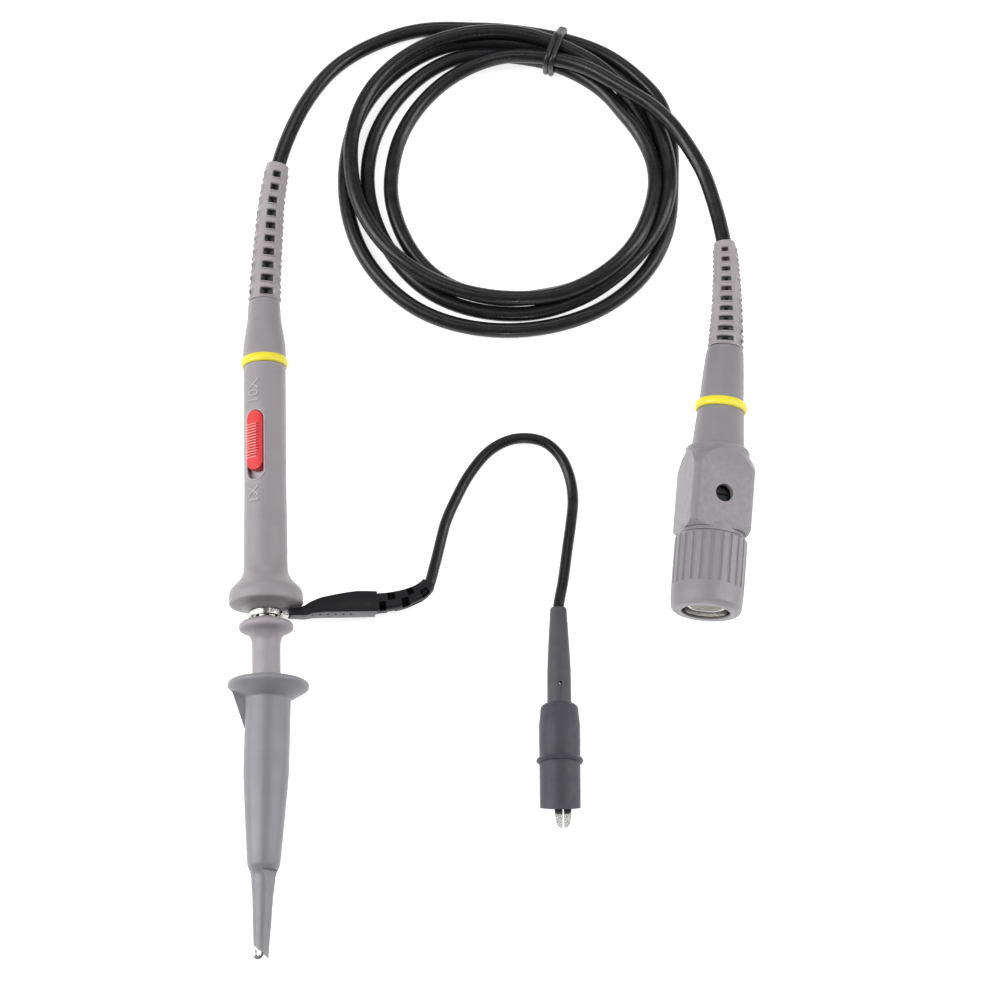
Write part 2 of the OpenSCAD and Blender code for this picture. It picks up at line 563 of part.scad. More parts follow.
module bnc_coupling_nut() {
  color([0.78, 0.78, 0.78]) on_bnc() difference() {
    lathe([[4.9, -15.9], [5.98, -15.9], [5.98, -1.6], [4.6, -1.6], [4.6, -4.4], [5.35, -4.4], [5.35, -6.3], [4.9, -6.3]]);
    // two bayonet tracks, stepped along a quarter turn
    for (a = [0, 180]) for (k = [0:5]) rotate([0, 0, a + 16 * k])
      translate([4, -1.05, k == 0 ? -17 : -14.9 + 0.9 * k]) cube([1.5, 2.1, k == 0 ? 4.2 : 2]);
  }
}
module bnc_sleeve() {
  s = bnc_sleeve_d / 2;
  color([0.55, 0.54, 0.55]) on_bnc() difference() {
    lathe([[6, -0.75], [s - 0.3, -0.75], [s, -1.25], [s, -12], [s - 0.05, -13.5], [s - 0.2, -15.4],
      [s - 0.42, -16.05], [s - 0.85, -16.4], [5.1, -16.45], [5.1, -16.05], [6, -16.05]]);
    for (a = [0:360 / flute_n:359]) rotate([0, 0, a]) translate([s + 0.12, 0, -11.5]) cylinder(r = 0.42, h = 13, $fn = 24);
  }
}

handle_shell();
handle_rear_cone();
tail_boot();
head_marker_ring();
switch_pcb();
switch_pads();
divider_resistor();
divider_capacitor();
core_wire_front();
cable_crimp_front();
ground_barrel();
tip_insulator();
probe_pin();
switch_slider();
switch_wiper();
hook_body();
hook_socket();
hook_wire();
hook_spring();
hook_sleeve();
ground_clip();
ground_boot();
ground_lead_wire();
clip_tail_sleeve();
clip_cover();
clip_fixed_jaw();
clip_pin();
clip_spring();
clip_moving_jaw();
cable_front();
cable_coil();
cable_rear();
cable_tie();
bnc_boot();
bnc_cone();
bnc_marker_ring();
comp_housing();
comp_pcb();
comp_resistor();
core_wire_rear();
cable_crimp_rear();
trimmer_body();
trimmer_rotor();
bnc_body();
bnc_insulator();
bnc_pin();
bnc_gasket();
bnc_wave_washer();
bnc_retaining_ring();
bnc_coupling_nut();
bnc_sleeve();
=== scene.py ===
import math
import bpy
import bmesh
import numpy as np
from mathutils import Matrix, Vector


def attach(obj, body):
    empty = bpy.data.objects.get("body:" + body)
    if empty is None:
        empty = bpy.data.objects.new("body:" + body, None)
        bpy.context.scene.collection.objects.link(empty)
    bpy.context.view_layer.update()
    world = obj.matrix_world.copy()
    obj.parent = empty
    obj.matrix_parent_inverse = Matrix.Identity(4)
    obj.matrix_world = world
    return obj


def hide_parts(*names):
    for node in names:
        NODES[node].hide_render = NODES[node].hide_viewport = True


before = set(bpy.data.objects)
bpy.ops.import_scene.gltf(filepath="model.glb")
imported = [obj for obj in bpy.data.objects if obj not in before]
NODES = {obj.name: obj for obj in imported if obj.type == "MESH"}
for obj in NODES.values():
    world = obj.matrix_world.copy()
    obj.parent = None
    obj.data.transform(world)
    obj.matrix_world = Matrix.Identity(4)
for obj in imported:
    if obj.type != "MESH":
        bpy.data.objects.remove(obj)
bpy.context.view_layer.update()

SC = bpy.context.scene
rad = math.radians
sin, cos, pi = math.sin, math.cos, math.pi


# ------------------------------------------------------------------ camera
def make_camera():
    look = Vector((0.0468, 0.0135, 0.0))
    tilt, turn, dist = rad(18.0), rad(1.65), 0.63158
    fwd = Vector((sin(tilt) * sin(turn), sin(tilt) * cos(turn), -cos(tilt)))
    cam = bpy.data.cameras.new("camera")
    cam.sensor_width = 36.0
    cam.sensor_fit = "HORIZONTAL"
    cam.lens = 110.09
    cam.clip_start, cam.clip_end = 0.01, 10.0
    ob = bpy.data.objects.new("camera", cam)
    SC.collection.objects.link(ob)
    right = fwd.cross(Vector((0, 0, 1))).normalized()
    up = right.cross(fwd)
    ob.location = look - fwd * dist
    from mathutils import Matrix
    m = Matrix((right, up, -fwd)).transposed()
    ob.rotation_euler = m.to_euler()
    SC.camera = ob
    return ob


make_camera()


# --------------------------------------------------------------- materials
def lin(c):
    out = []
    for v in c:
        v = v / 255.0
        out.append(v / 12.92 if v <= 0.04045 else ((v + 0.055) / 1.055) ** 2.4)
    return (out[0], out[1], out[2], 1.0)


class Mat:
    """A Principled material with a few helpers for its texture nodes."""

    def __init__(self, name):
        self.m = bpy.data.materials.new(name)
        self.m.use_nodes = True
        self.nt = self.m.node_tree
        self.b = self.nt.nodes["Principled BSDF"]
        self.tc = self.nt.nodes.new("ShaderNodeTexCoord")

    def set(self, **kw):
        for k, v in kw.items():
            self.b.inputs[k.replace("_", " ")].default_value = v

    def node(self, kind, **kw):
        n = self.nt.nodes.new(kind)
        for k, v in kw.items():
            setattr(n, k, v)
        return n

    def link(self, a, b):
        self.nt.links.new(a, b)

    def coords(self, scale=(1, 1, 1), rot=(0, 0, 0)):
        mp = self.node("ShaderNodeMapping")
        mp.inputs["Scale"].default_value = scale
        mp.inputs["Rotation"].default_value = rot
        self.link(self.tc.outputs["Object"], mp.inputs["Vector"])
        return mp.outputs["Vector"]

    def noise(self, scale, detail=3.0, rough=0.55, vec=None, distortion=0.0):
        n = self.node("ShaderNodeTexNoise")
        n.inputs["Scale"].default_value = scale
        n.inputs["Detail"].default_value = detail
        n.inputs["Roughness"].default_value = rough
        n.inputs["Distortion"].default_value = distortion
        self.link(vec if vec is not None else self.tc.outputs["Object"], n.inputs["Vector"])
        return n.outputs["Fac"]

    def remap(self, fac, lo, hi, a=0.0, b=1.0):
        n = self.node("ShaderNodeMapRange")
        n.inputs["From Min"].default_value = lo
        n.inputs["From Max"].default_value = hi
        n.inputs["To Min"].default_value = a
        n.inputs["To Max"].default_value = b
        self.link(fac, n.inputs["Value"])
        return n.outputs["Result"]

    def mix(self, fac, a, b):
        n = self.node("ShaderNodeMix", data_type="RGBA")
        self.link(fac, n.inputs[0])
        for sock, v in ((n.inputs[6], a), (n.inputs[7], b)):
            if hasattr(v, "links"):
                self.link(v, sock)
            else:
                sock.default_value = v
        return n.outputs[2]

    def bump(self, height, strength, distance, normal=None):
        n = self.node("ShaderNodeBump")
        n.inputs["Strength"].default_value = strength
        n.inputs["Distance"].default_value = distance
        self.link(height, n.inputs["Height"])
        if normal is not None:
            self.link(normal, n.inputs["Normal"])
        return n.outputs["Normal"]

    def pointy(self, lo, hi):
        g = self.node("ShaderNodeNewGeometry")
        return self.remap(g.outputs["Pointiness"], lo, hi)


def shade(c, k):
    return (min(c[0] * k, 1), min(c[1] * k, 1), min(c[2] * k, 1), 1.0)


def moulded(name, rgb, rough=0.42, grain=0.00035, grain_depth=0.000012, mottle=0.06, wear=0.18,
            spec=0.5, coat=0.0):
    """Injection moulded plastic: fine spark texture, faint flow mottling, edges rubbed paler."""
    m = Mat(name)
    c = lin(rgb)
    m.set(Base_Color=c, Roughness=rough)
    m.b.inputs["Specular IOR Level"].default_value = spec
    if coat:
        m.b.inputs["Coat Weight"].default_value = coat
        m.b.inputs["Coat Roughness"].default_value = 0.25
    flow = m.noise(110.0, 4.0, 0.6, distortion=0.4)
    col = m.mix(m.remap(flow, 0.3, 0.7), shade(c, 1 - mottle), shade(c, 1 + mottle))
    if wear:
        edge = m.pointy(0.515, 0.60)
        broken = m.noise(900.0, 3.0, 0.65)
        mul = m.node("ShaderNodeMath", operation="MULTIPLY")
        m.link(edge, mul.inputs[0])
        m.link(m.remap(broken, 0.35, 0.62, 0.2, 1.0), mul.inputs[1])
        scl = m.node("ShaderNodeMath", operation="MULTIPLY")
        m.link(mul.outputs[0], scl.inputs[0])
        scl.inputs[1].default_value = wear * 2.5
        col = m.mix(scl.outputs[0], col, shade(c, 1.45))
    m.link(col, m.b.inputs["Base Color"])
    fine = m.noise(1.0 / grain, 2.0, 0.5)
    m.link(m.remap(m.noise(420.0, 3.0, 0.6), 0.3, 0.7, rough - 0.06, rough + 0.07), m.b.inputs["Roughness"])
    n = m.bump(fine, 0.55, grain_depth)
    n = m.bump(flow, 0.25, 0.00006, n)
    m.link(n, m.b.inputs["Normal"])
    return m.m


def soft_rubber(name, rgb, rough=0.5, grain=0.0005, depth=0.00002, mottle=0.08, sheen=0.15, spec=0.45):
    """Soft moulded elastomer: finer skin, a little bloom and a low sheen."""
    m = Mat(name)
    c = lin(rgb)
    m.set(Base_Color=c, Roughness=rough)
    m.b.inputs["Specular IOR Level"].default_value = spec
    m.b.inputs["Sheen Weight"].default_value = sheen
    m.b.inputs["Sheen Roughness"].default_value = 0.4
    bloom = m.noise(260.0, 5.0, 0.6, distortion=0.6)
    col = m.mix(m.remap(bloom, 0.35, 0.68), shade(c, 1 - mottle), shade(c, 1 + mottle))
    edge = m.pointy(0.52, 0.62)
    scl = m.node("ShaderNodeMath", operation="MULTIPLY")
    m.link(edge, scl.inputs[0])
    scl.inputs[1].default_value = 0.35
    col = m.mix(scl.outputs[0], col, shade(c, 1.3))
    m.link(col, m.b.inputs["Base Color"])
    m.link(m.remap(m.noise(700.0, 3.0, 0.6), 0.3, 0.7, rough - 0.07, rough + 0.08), m.b.inputs["Roughness"])
    n = m.bump(m.noise(1.0 / grain, 2.0, 0.55), 0.5, depth)
    n = m.bump(bloom, 0.3, 0.00005, n)
    m.link(n, m.b.inputs["Normal"])
    return m.m


def jacket(name, rgb, rough=0.36, spec=0.5):
    """Extruded cable jacket: near black, soft highlight, handling marks and faint lumps."""
    m = Mat(name)
    c = lin(rgb)
    m.set(Base_Color=c, Roughness=rough)
    m.b.inputs["Specular IOR Level"].default_value = spec
    dust = m.noise(180.0, 6.0, 0.65, distortion=0.8)
    col = m.mix(m.remap(dust, 0.4, 0.8), c, shade(c, 1.35))
    m.link(col, m.b.inputs["Base Color"])
    m.link(m.remap(m.noise(520.0, 4.0, 0.6), 0.3, 0.72, rough - 0.08, rough + 0.1), m.b.inputs["Roughness"])
    n = m.bump(m.noise(240.0, 2.0, 0.5), 0.2, 0.00005)
    n = m.bump(m.noise(2400.0, 2.0, 0.5), 0.35, 0.00001, n)
    m.link(n, m.b.inputs["Normal"])
    return m.m


def metal(name, rgb, rough=0.22, lathe_axis=None, tarnish=0.12, rgb2=None, brush=0.00002):
    """Plated or drawn metal with turning lines along an axis, fingerprints and darker tarnish in random clouds."""
    m = Mat(name)
    c = lin(rgb)
    m.set(Base_Color=c, Roughness=rough, Metallic=1.0)
    cloud = m.noise(300.0, 5.0, 0.6, distortion=0.5)
    c2 = lin(rgb2) if rgb2 else shade(c, 1 - tarnish * 2.2)
    col = m.mix(m.remap(cloud, 0.42, 0.78), c, c2)
    m.link(col, m.b.inputs["Base Color"])
    m.link(m.remap(m.noise(650.0, 4.0, 0.6), 0.3, 0.7, max(rough - 0.08, 0.04), rough + 0.12), m.b.inputs["Roughness"])
    if lathe_axis == "y":
        vec = m.coords((120.0, 9000.0, 120.0))
    else:
        vec = m.coords((900.0, 5200.0, 900.0))
    n = m.bump(m.noise(1.0, 2.0, 0.5, vec=vec), 0.35, brush)
    m.link(n, m.b.inputs["Normal"])
    return m.m


def board_green(name):
    m = Mat(name)
    c = lin((36, 92, 62))
    m.set(Base_Color=c, Roughness=0.3)
    weave = m.node("ShaderNodeTexWave", wave_type="BANDS")
    weave.inputs["Scale"].default_value = 900.0
    weave.inputs["Distortion"].default_value = 1.5
    m.link(m.tc.outputs["Object"], weave.inputs["Vector"])
    col = m.mix(m.remap(weave.outputs["Fac"], 0.2, 0.8), shade(c, 0.85), shade(c, 1.15))
    m.link(col, m.b.inputs["Base Color"])
    m.link(m.bump(weave.outputs["Fac"], 0.2, 0.00002), m.b.inputs["Normal"])
    m.link(m.remap(m.noise(800.0, 3.0), 0.3, 0.7, 0.22, 0.4), m.b.inputs["Roughness"])
    return m.m


M = {}
M["handle"] = moulded("grey_handle", (150, 145, 148), rough=0.40, wear=0.16)
M["sleeve"] = moulded("grey_hook_sleeve", (134, 133, 139), rough=0.38, wear=0.16)
M["collar"] = moulded("grey_collar", (158, 152, 156), rough=0.42, wear=0.12)
M["boot"] = soft_rubber("grey_soft_boot", (166, 159, 161), rough=0.52)
M["bncplastic"] = moulded("grey_connector", (138, 134, 138), rough=0.38, wear=0.16)
M["yellow"] = moulded("yellow_ring", (240, 226, 50), rough=0.36, mottle=0.03, wear=0.05, spec=0.5)
M["red"] = moulded("red_slider", (214, 40, 42), rough=0.38, mottle=0.04, wear=0.2)
# painted highlight: the ribs' pale red stands in for light catching their ridges
M["rib"] = moulded("red_rib_face", (250, 150, 148), rough=0.4, mottle=0.04, wear=0.3)
M["cable"] = jacket("black_cable_jacket", (25, 25, 27), rough=0.30, spec=0.42)
M["lead"] = jacket("black_lead_jacket", (24, 24, 26), rough=0.30, spec=0.34)
# painted shade: the same grey rubber darkened for the walls and floors down inside the boot windows
M["boot_deep"] = soft_rubber("grey_boot_painted_shade", (74, 71, 73), rough=0.6, sheen=0.0)
M["rim"] = moulded("grey_slot_rim", (176, 172, 175), rough=0.4, wear=0.1)
M["figure"] = moulded("grey_figures", (170, 166, 168), rough=0.34, wear=0.3)
M["rubber"] = soft_rubber("black_rubber", (24, 24, 27), rough=0.46, sheen=0.0, spec=0.24)
# painted shade: near-black for the sunk floors of the ground relief windows
M["hole"] = soft_rubber("black_rubber_painted_shade", (7, 7, 8), rough=0.7, sheen=0.0, spec=0.1)
M["dark"] = moulded("black_trimmer", (12, 12, 13), rough=0.45, mottle=0.08, wear=0.05, spec=0.3)
M["cord"] = soft_rubber("tie_rubber", (34, 34, 36), rough=0.36, sheen=0.0, spec=0.5)
# painted light: a lighter grey copy of the black rubber for the ground boot's front face
M["grey_side"] = soft_rubber("grey_rubber_painted_lit_side", (120, 118, 122), rough=0.5, sheen=0.0)
M["black"] = moulded("black_plastic", (34, 34, 36), rough=0.38, mottle=0.08)
M["cover"] = soft_rubber("slate_clip_cover", (70, 70, 77), rough=0.46, sheen=0.0, spec=0.26)
M["tail"] = soft_rubber("slate_clip_tail", (79, 79, 84), rough=0.46, sheen=0.0, spec=0.26)
M["nickel"] = metal("nickel_plate", (220, 218, 214), rough=0.19, lathe_axis="y", tarnish=0.07, brush=0.000007)
M["chrome"] = metal("bright_jaw_plate", (226, 225, 222), rough=0.2)
M["satin"] = metal("satin_nickel", (242, 241, 239), rough=0.5, lathe_axis="y", tarnish=0.03)
M["satin"].node_tree.nodes["Principled BSDF"].inputs["Metallic"].default_value = 0.3
M["steel"] = metal("spring_steel", (196, 196, 197), rough=0.26)
M["gold"] = metal("gold_plate", (221, 180, 96), rough=0.22, lathe_axis="y", rgb2=(196, 150, 70))
M["copper"] = metal("tinned_copper", (201, 131, 98), rough=0.3, rgb2=(168, 100, 72))
M["white"] = moulded("white_insulator", (232, 231, 226), rough=0.35, mottle=0.03, wear=0.05)
M["pcb"] = board_green("circuit_board")
M["blue"] = moulded("blue_lacquer", (74, 112, 168), rough=0.3, mottle=0.05, coat=0.4)
M["orange"] = moulded("orange_ceramic", (196, 120, 62), rough=0.4, mottle=0.06)
M["gasket"] = soft_rubber("gasket_red", (178, 74, 56), rough=0.55)

CAD_LOOK = {
    "handle": ["handle_shell", "handle_rear_cone"],
    "sleeve": ["hook_sleeve"],
    "collar": ["hook_body"],
    "bncplastic": ["bnc_cone", "comp_housing", "bnc_sleeve"],
    "yellow": ["head_marker_ring", "bnc_marker_ring"],
    "red": ["switch_slider"],
    "nickel": ["ground_barrel", "bnc_coupling_nut", "ground_clip", "cable_crimp_front", "cable_crimp_rear"],
    "satin": ["bnc_body"],
    "chrome": ["clip_fixed_jaw", "clip_moving_jaw"],
    "steel": ["hook_wire", "hook_spring", "clip_pin", "clip_spring", "bnc_wave_washer", "bnc_retaining_ring"],
    "gold": ["probe_pin", "hook_socket", "switch_wiper", "switch_pads", "bnc_pin"],
    "copper": ["core_wire_front", "core_wire_rear"],
    "white": ["tip_insulator", "bnc_insulator"],
    "pcb": ["switch_pcb", "comp_pcb"],
    "blue": ["divider_resistor", "comp_resistor"],
    "orange": ["divider_capacitor"],
    "dark": ["trimmer_body", "trimmer_rotor"],
    "gasket": ["bnc_gasket"],
    "boot": ["tail_boot", "bnc_boot"],
    "cable": ["cable_front", "cable_coil", "cable_rear"],
    "rubber": ["cable_tie", "ground_boot"],
    "lead": ["ground_lead_wire"],
    "cover": ["clip_cover"],
    "tail": ["clip_tail_sleeve"],
}
for key, names in CAD_LOOK.items():
    for nm in names:
        ob = NODES[nm]
        ob.data.materials.clear()
        ob.data.materials.append(M[key])


# ----------------------------------------------------------------- helpers
def mesh_piece(name, verts, faces, body, mat, sharp=35.0, merge=0.0, mats=None, face_mats=None):
    """A mesh from millimetre points, smooth apart from edges sharper than an angle, riding on a body."""
    me = bpy.data.meshes.new(name)
    me.from_pydata([(float(x) * 0.001, float(y) * 0.001, float(z) * 0.001) for x, y, z in verts], [], faces)
    for one in mats or [mat]:
        me.materials.append(one)
    if face_mats is not None:
        me.polygons.foreach_set("material_index", face_mats)
    bm = bmesh.new()
    bm.from_mesh(me)
    if merge:
        bmesh.ops.remove_doubles(bm, verts=bm.verts, dist=merge * 0.001)
    bmesh.ops.recalc_face_normals(bm, faces=bm.faces)
    bm.to_mesh(me)
    bm.free()
    for p in me.polygons:
        p.use_smooth = True
    me.set_sharp_from_angle(angle=rad(sharp))
    ob = bpy.data.objects.new(name, me)
    SC.collection.objects.link(ob)
    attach(ob, body)
    return ob


class Axis:
    """A straight axis in the ground plane; phi is measured from the top towards the right of travel."""

    def __init__(self, origin, turn):
        a = rad(turn)
        self.o = np.array(origin, float)
        self.d = np.array([sin(a), cos(a), 0.0])
        self.s = np.array([cos(a), -sin(a), 0.0])
        self.u = np.array([0.0, 0.0, 1.0])

    def at(self, r, phi, t):
        return self.o + self.d * t + self.s * (r * sin(phi)) + self.u * (r * cos(phi))

    def xyz(self, x, t, up):
        return self.o + self.d * t + self.s * x + self.u * up


HEAD = Axis((0, 0, 8.4), 0.0)
TIP_LEAN = 1.85
_a = rad(TIP_LEAN)
TIP = Axis((0.4 + 30 * sin(_a), -30 + 30 * cos(_a), 8.4), TIP_LEAN)
BNC = Axis((92.1, -0.3, 7.9), 7.0)
GATOR = Axis((59.4, -37, 4.8), 1.5)


def catmull(p, n):
    p = [np.array(q, float) for q in p]
    out = []
    for i in range(len(p) - 1):
        a, b, c, d = p[max(i - 1, 0)], p[i], p[i + 1], p[min(i + 2, len(p) - 1)]
        for k in range(n):
            t = k / n
            out.append(0.5 * (2 * b + (c - a) * t + (2 * a - 5 * b + 4 * c - d) * t * t
                              + (3 * b - a - 3 * c + d) * t ** 3))
    out.append(p[-1])
    return out


def lathe(name, axis, outline, body, mat, slot, n=96, sharp=35.0):
    """A turned piece from a closed outline of [radius, position] points."""
    verts, faces = [], []
    m = len(outline)
    for k in range(n):
        phi = 2 * pi * k / n
        for r, t in outline:
            verts.append(axis.at(r, phi, t))
    for k in range(n):
        k2 = (k + 1) % n
        for i in range(m):
            j = (i + 1) % m
            if outline[i][0] < 1e-6 and outline[j][0] < 1e-6:
                continue
            faces.append((k * m + i, k * m + j, k2 * m + j, k2 * m + i))
    return mesh_piece(name, verts, faces, body, mat, sharp=sharp, merge=0.0005)


# ------------------------------------------------------------- main cable
CX, CY = 52.7, 83.6


def pol(r, a, z):
    return (CX + r * cos(rad(a)), CY + r * sin(rad(a)), z)


FRONT = [(0, 48, 8.4), (0.1, 54.35, 8.4), (0.3, 59, 8.4), (0.65, 64, 8.4), (1.1, 70, 8.4), (1.6, 76, 8.4),
         (2.4, 81.5, 8.4), (3.1, 85.5, 8.4), (4.1, 89, 7.9), (5.2, 92.6, 7.1), (7.8, 99.4, 5.5),
         (10.6, 104.8, 4.1), (14.3, 110.2, 2.8), (18.7, 114.1, 2), (23.8, 117.1, 1.6), (31.2, 119.8, 1.5),
         (38.3, 120.7, 1.5), (45, 120.5, 1.5)]
TURN1 = [(36.3, 90, 1.5), (36.4, 80, 1.5), (36.7, 70, 1.5), (37.0, 60, 1.5), (37.3, 50, 1.5), (37.4, 40, 1.5),
         (37.3, 30, 1.5), (37.0, 20, 1.5), (36.3, 10, 1.5), (35.7, 0, 1.5), (35.7, -10, 1.5), (36.0, -20, 1.5),
         (36.3, -31, 1.5), (36.2, -42, 1.5), (35.9, -53, 1.5), (35.5, -64, 1.5), (35.1, -76, 1.5),
         (34.9, -89, 1.5), (35.0, -100, 1.5), (35.3, -110, 1.5), (35.7, -120, 1.5), (35.9, -131, 1.5),
         (35.9, -144, 1.5), (35.8, -156, 1.5), (35.6, -168, 1.5), (35.6, -180, 1.5), (35.8, -193, 1.5),
         (36.1, -205, 1.5), (36.2, -217, 1.5), (36.0, -228, 1.6), (35.7, -238, 1.9), (35.3, -249, 2.6),
         (34.8, -260, 3.5)]
TURN2 = [(34.4, -270, 4.1), (34.2, -280, 4.3), (34.1, -292, 4.3), (34.1, -304, 4.2), (34.3, -316, 4.2),
         (34.7, -328, 4.3), (35.2, -340, 4.4), (35.4, -350, 4.4), (35.1, -360, 4.4), (34.7, -370, 4.1),
         (34.0, -380, 3.6), (33.2, -390, 2.9), (32.6, -400, 2.2), (32.1, -410, 1.8), (31.8, -420, 1.5),
         (31.5, -435, 1.5), (31.2, -450, 1.5), (31.1, -465, 1.5), (31.2, -480, 1.5), (31.0, -492, 1.5),
         (30.6, -505, 1.5), (30.5, -518, 1.5), (30.5, -530, 1.5), (30.7, -540, 1.5), (30.9, -552, 1.5),
         (31.1, -564, 1.5), (31.2, -577, 1.5), (31.4, -590, 1.5), (31.7, -602, 1.5), (31.9, -614, 1.5),
         (31.8, -625, 1.5)]
TURN3 = [(31.5, -635, 1.5), (31.2, -645, 1.6), (30.7, -655, 1.9), (30.3, -665, 2.5), (30.1, -677, 3.3),
         (30.1, -690, 4.1), (30.5, -703, 4.4), (31.1, -714, 4.4), (31.4, -724, 4.4), (31.3, -738, 4.4),
         (31.1, -752, 4.4), (30.8, -768, 4.4), (30.1, -782, 4.4), (29.2, -796, 4.4), (28.5, -810, 4.4),
         (28.4, -823, 4.4), (28.8, -838, 4.4), (29.7, -852, 4.4), (30.6, -863, 4.4), (31.5, -874, 4.4),
         (32.6, -886, 4.4), (33.6, -896, 4.4), (35.0, -911, 4.4), (35.9, -924, 4.4), (36.4, -936, 4.5),
         (36.3, -946, 4.6), (36.1, -956, 4.9), (35.7, -966, 5.4), (35.0, -977, 6.1), (34.2, -988, 6.6)]
TURN4 = [(33.4, -998, 6.9), (32.7, -1009, 6.9), (32.5, -1020, 6.5), (32.9, -1030, 6.0), (33.5, -1040, 5.2),
         (33.9, -1050, 4.2), (33.4, -1060, 3.0), (32.4, -1070, 1.9), (31.5, -1082, 1.5), (31.1, -1094, 1.5),
         (30.7, -1105, 1.5), (30.0, -1117, 1.5), (29.2, -1130, 1.5), (28.7, -1145, 1.5), (28.3, -1168, 1.5),
         (28.0, -1182, 1.5), (27.6, -1195, 1.5), (27.2, -1208, 1.5), (26.7, -1222, 1.5), (26.2, -1236, 1.5),
         (26.0, -1248, 1.5), (25.9, -1260, 1.5), (26.0, -1280, 1.5), (26.4, -1295, 1.5), (26.9, -1308, 1.5),
         (27.5, -1320, 1.5), (28.0, -1331, 1.6), (28.4, -1341, 2.2), (28.7, -1351, 3.2)]
REAR = [(58.3, 111.5, 4.3), (61.6, 111.1, 4.9), (64.2, 110.5, 5.3), (67.6, 109.7, 5.7), (71.1, 108.3, 6.2),
        (73.8, 106.3, 6.6), (79.2, 102.1, 7.1), (84.8, 97.7, 7.3), (89.6, 91.8, 7.2), (92.8, 86.0, 7.0),
        (94.7, 82.2, 6.9), (96.65, 74.4, 7.2), (97.75, 68.4, 7.7), (98.2, 65, 7.9), (98.3, 63.4, 7.9),
        (98.35, 60.6, 7.9), (98.3, 57.4, 7.9), (98.1, 52, 7.9), (97.85, 48.3, 7.9), (97.4, 43, 7.9),
        (97.15, 40.85, 7.9), (96.73, 37.42, 7.9), (95.06, 23.8, 7.9)]


def resample(p, step):
    seg = np.linalg.norm(np.diff(p, axis=0), axis=1)
    s = np.concatenate([[0], np.cumsum(seg)])
    n = int(round(s[-1] / step))
    q = np.linspace(0, s[-1], n + 1)
    return np.stack([np.interp(q, s, p[:, k]) for k in range(3)], 1)


def settle(p, lo, hi, d=3.0, rounds=260, pull=0.012, hold=0.985, low_z=1.5):
    """Turns of a cable eased apart until they lie on each other, each kept near its place."""
    t = p.copy()
    n = len(p)
    free = np.zeros(n)
    free[lo:hi] = 1.0
    ramp = np.clip(np.minimum(np.arange(n) - lo, hi - 1 - np.arange(n)) / 20.0, 0, 1)
    free *= ramp
    idx = np.arange(n)
    off = np.zeros_like(p)
    far = np.abs(idx[:, None] - idx[None, :]) > 14
    kern = np.array([1, 4, 6, 4, 1], float)
    kern /= kern.sum()
    for it in range(rounds):
        q = t + off
        dif = q[:, None, :] - q[None, :, :]
        dist = np.sqrt((dif ** 2).sum(2)) + 1e-9
        close = far & (dist < d)
        w = np.where(close, (d - dist) / dist, 0.0)
        push = (dif * w[:, :, None]).sum(1) / np.maximum(close.sum(1), 1)[:, None]
        off += 0.75 * push * free[:, None]
        # a light pull down, and back to the place it was laid in
        off[:, 2] -= pull * free
        off[:, :2] *= hold
        if it < rounds - 12:
            for _ in range(2):
                pad = np.pad(off, ((2, 2), (0, 0)), mode="edge")
                off = sum(kern[k] * pad[k:k + n] for k in range(5))
        off *= np.where(free > 0, 1, 0)[:, None]
        q = t + off
        low = q[:, 2] < low_z
        off[low, 2] = low_z - t[low, 2]
    q = t + off
    for _ in range(3):
        q[1:-1] = 0.25 * q[:-2] + 0.5 * q[1:-1] + 0.25 * q[2:]
    return q


def cable_points():
    ctrl = FRONT + [pol(*c) for c in TURN1 + TURN2 + TURN3 + TURN4] + REAR
    p = np.array(catmull(ctrl, 12))
    p = resample(p, 1.5)
    lo = int(np.argmin(np.linalg.norm(p - np.array([23.8, 117.1, 1.6]), axis=1)))
    hi = int(np.argmin(np.linalg.norm(p - np.array([89.2, 91.5, 7.2]), axis=1)))
    p = settle(p, lo, hi)
    # the bundle is drawn in at the tie and on the right: shifts by the angle run through
    d = p[:, :2] - np.array([CX, CY])
    run = np.degrees(np.unwrap(np.arctan2(d[:, 1], d[:, 0]))) + 360.0
    r = np.hypot(d[:, 0], d[:, 1])
    inside = (np.arange(len(p)) >= lo) & (np.arange(len(p)) <= hi)
    key = -run[inside]
    a, dr, dz = (np.array(c, float) for c in zip(*DRAWN))
    sr, sz = np.interp(key, -a, dr), np.interp(key, -a, dz)
    kern = np.ones(7) / 7.0
    for _ in range(2):
        sr = np.convolve(np.pad(sr, 3, mode="edge"), kern, mode="valid")
        sz = np.convolve(np.pad(sz, 3, mode="edge"), kern, mode="valid")
    k = np.where(inside)[0]
    p[k, :2] += d[k] / r[k][:, None] * sr[:, None]
    p[k, 2] = np.maximum(p[k, 2] + sz + 0.1, 1.6)
    return settle(p, lo, hi, d=3.12, rounds=70, pull=0.0, hold=0.96, low_z=1.6)


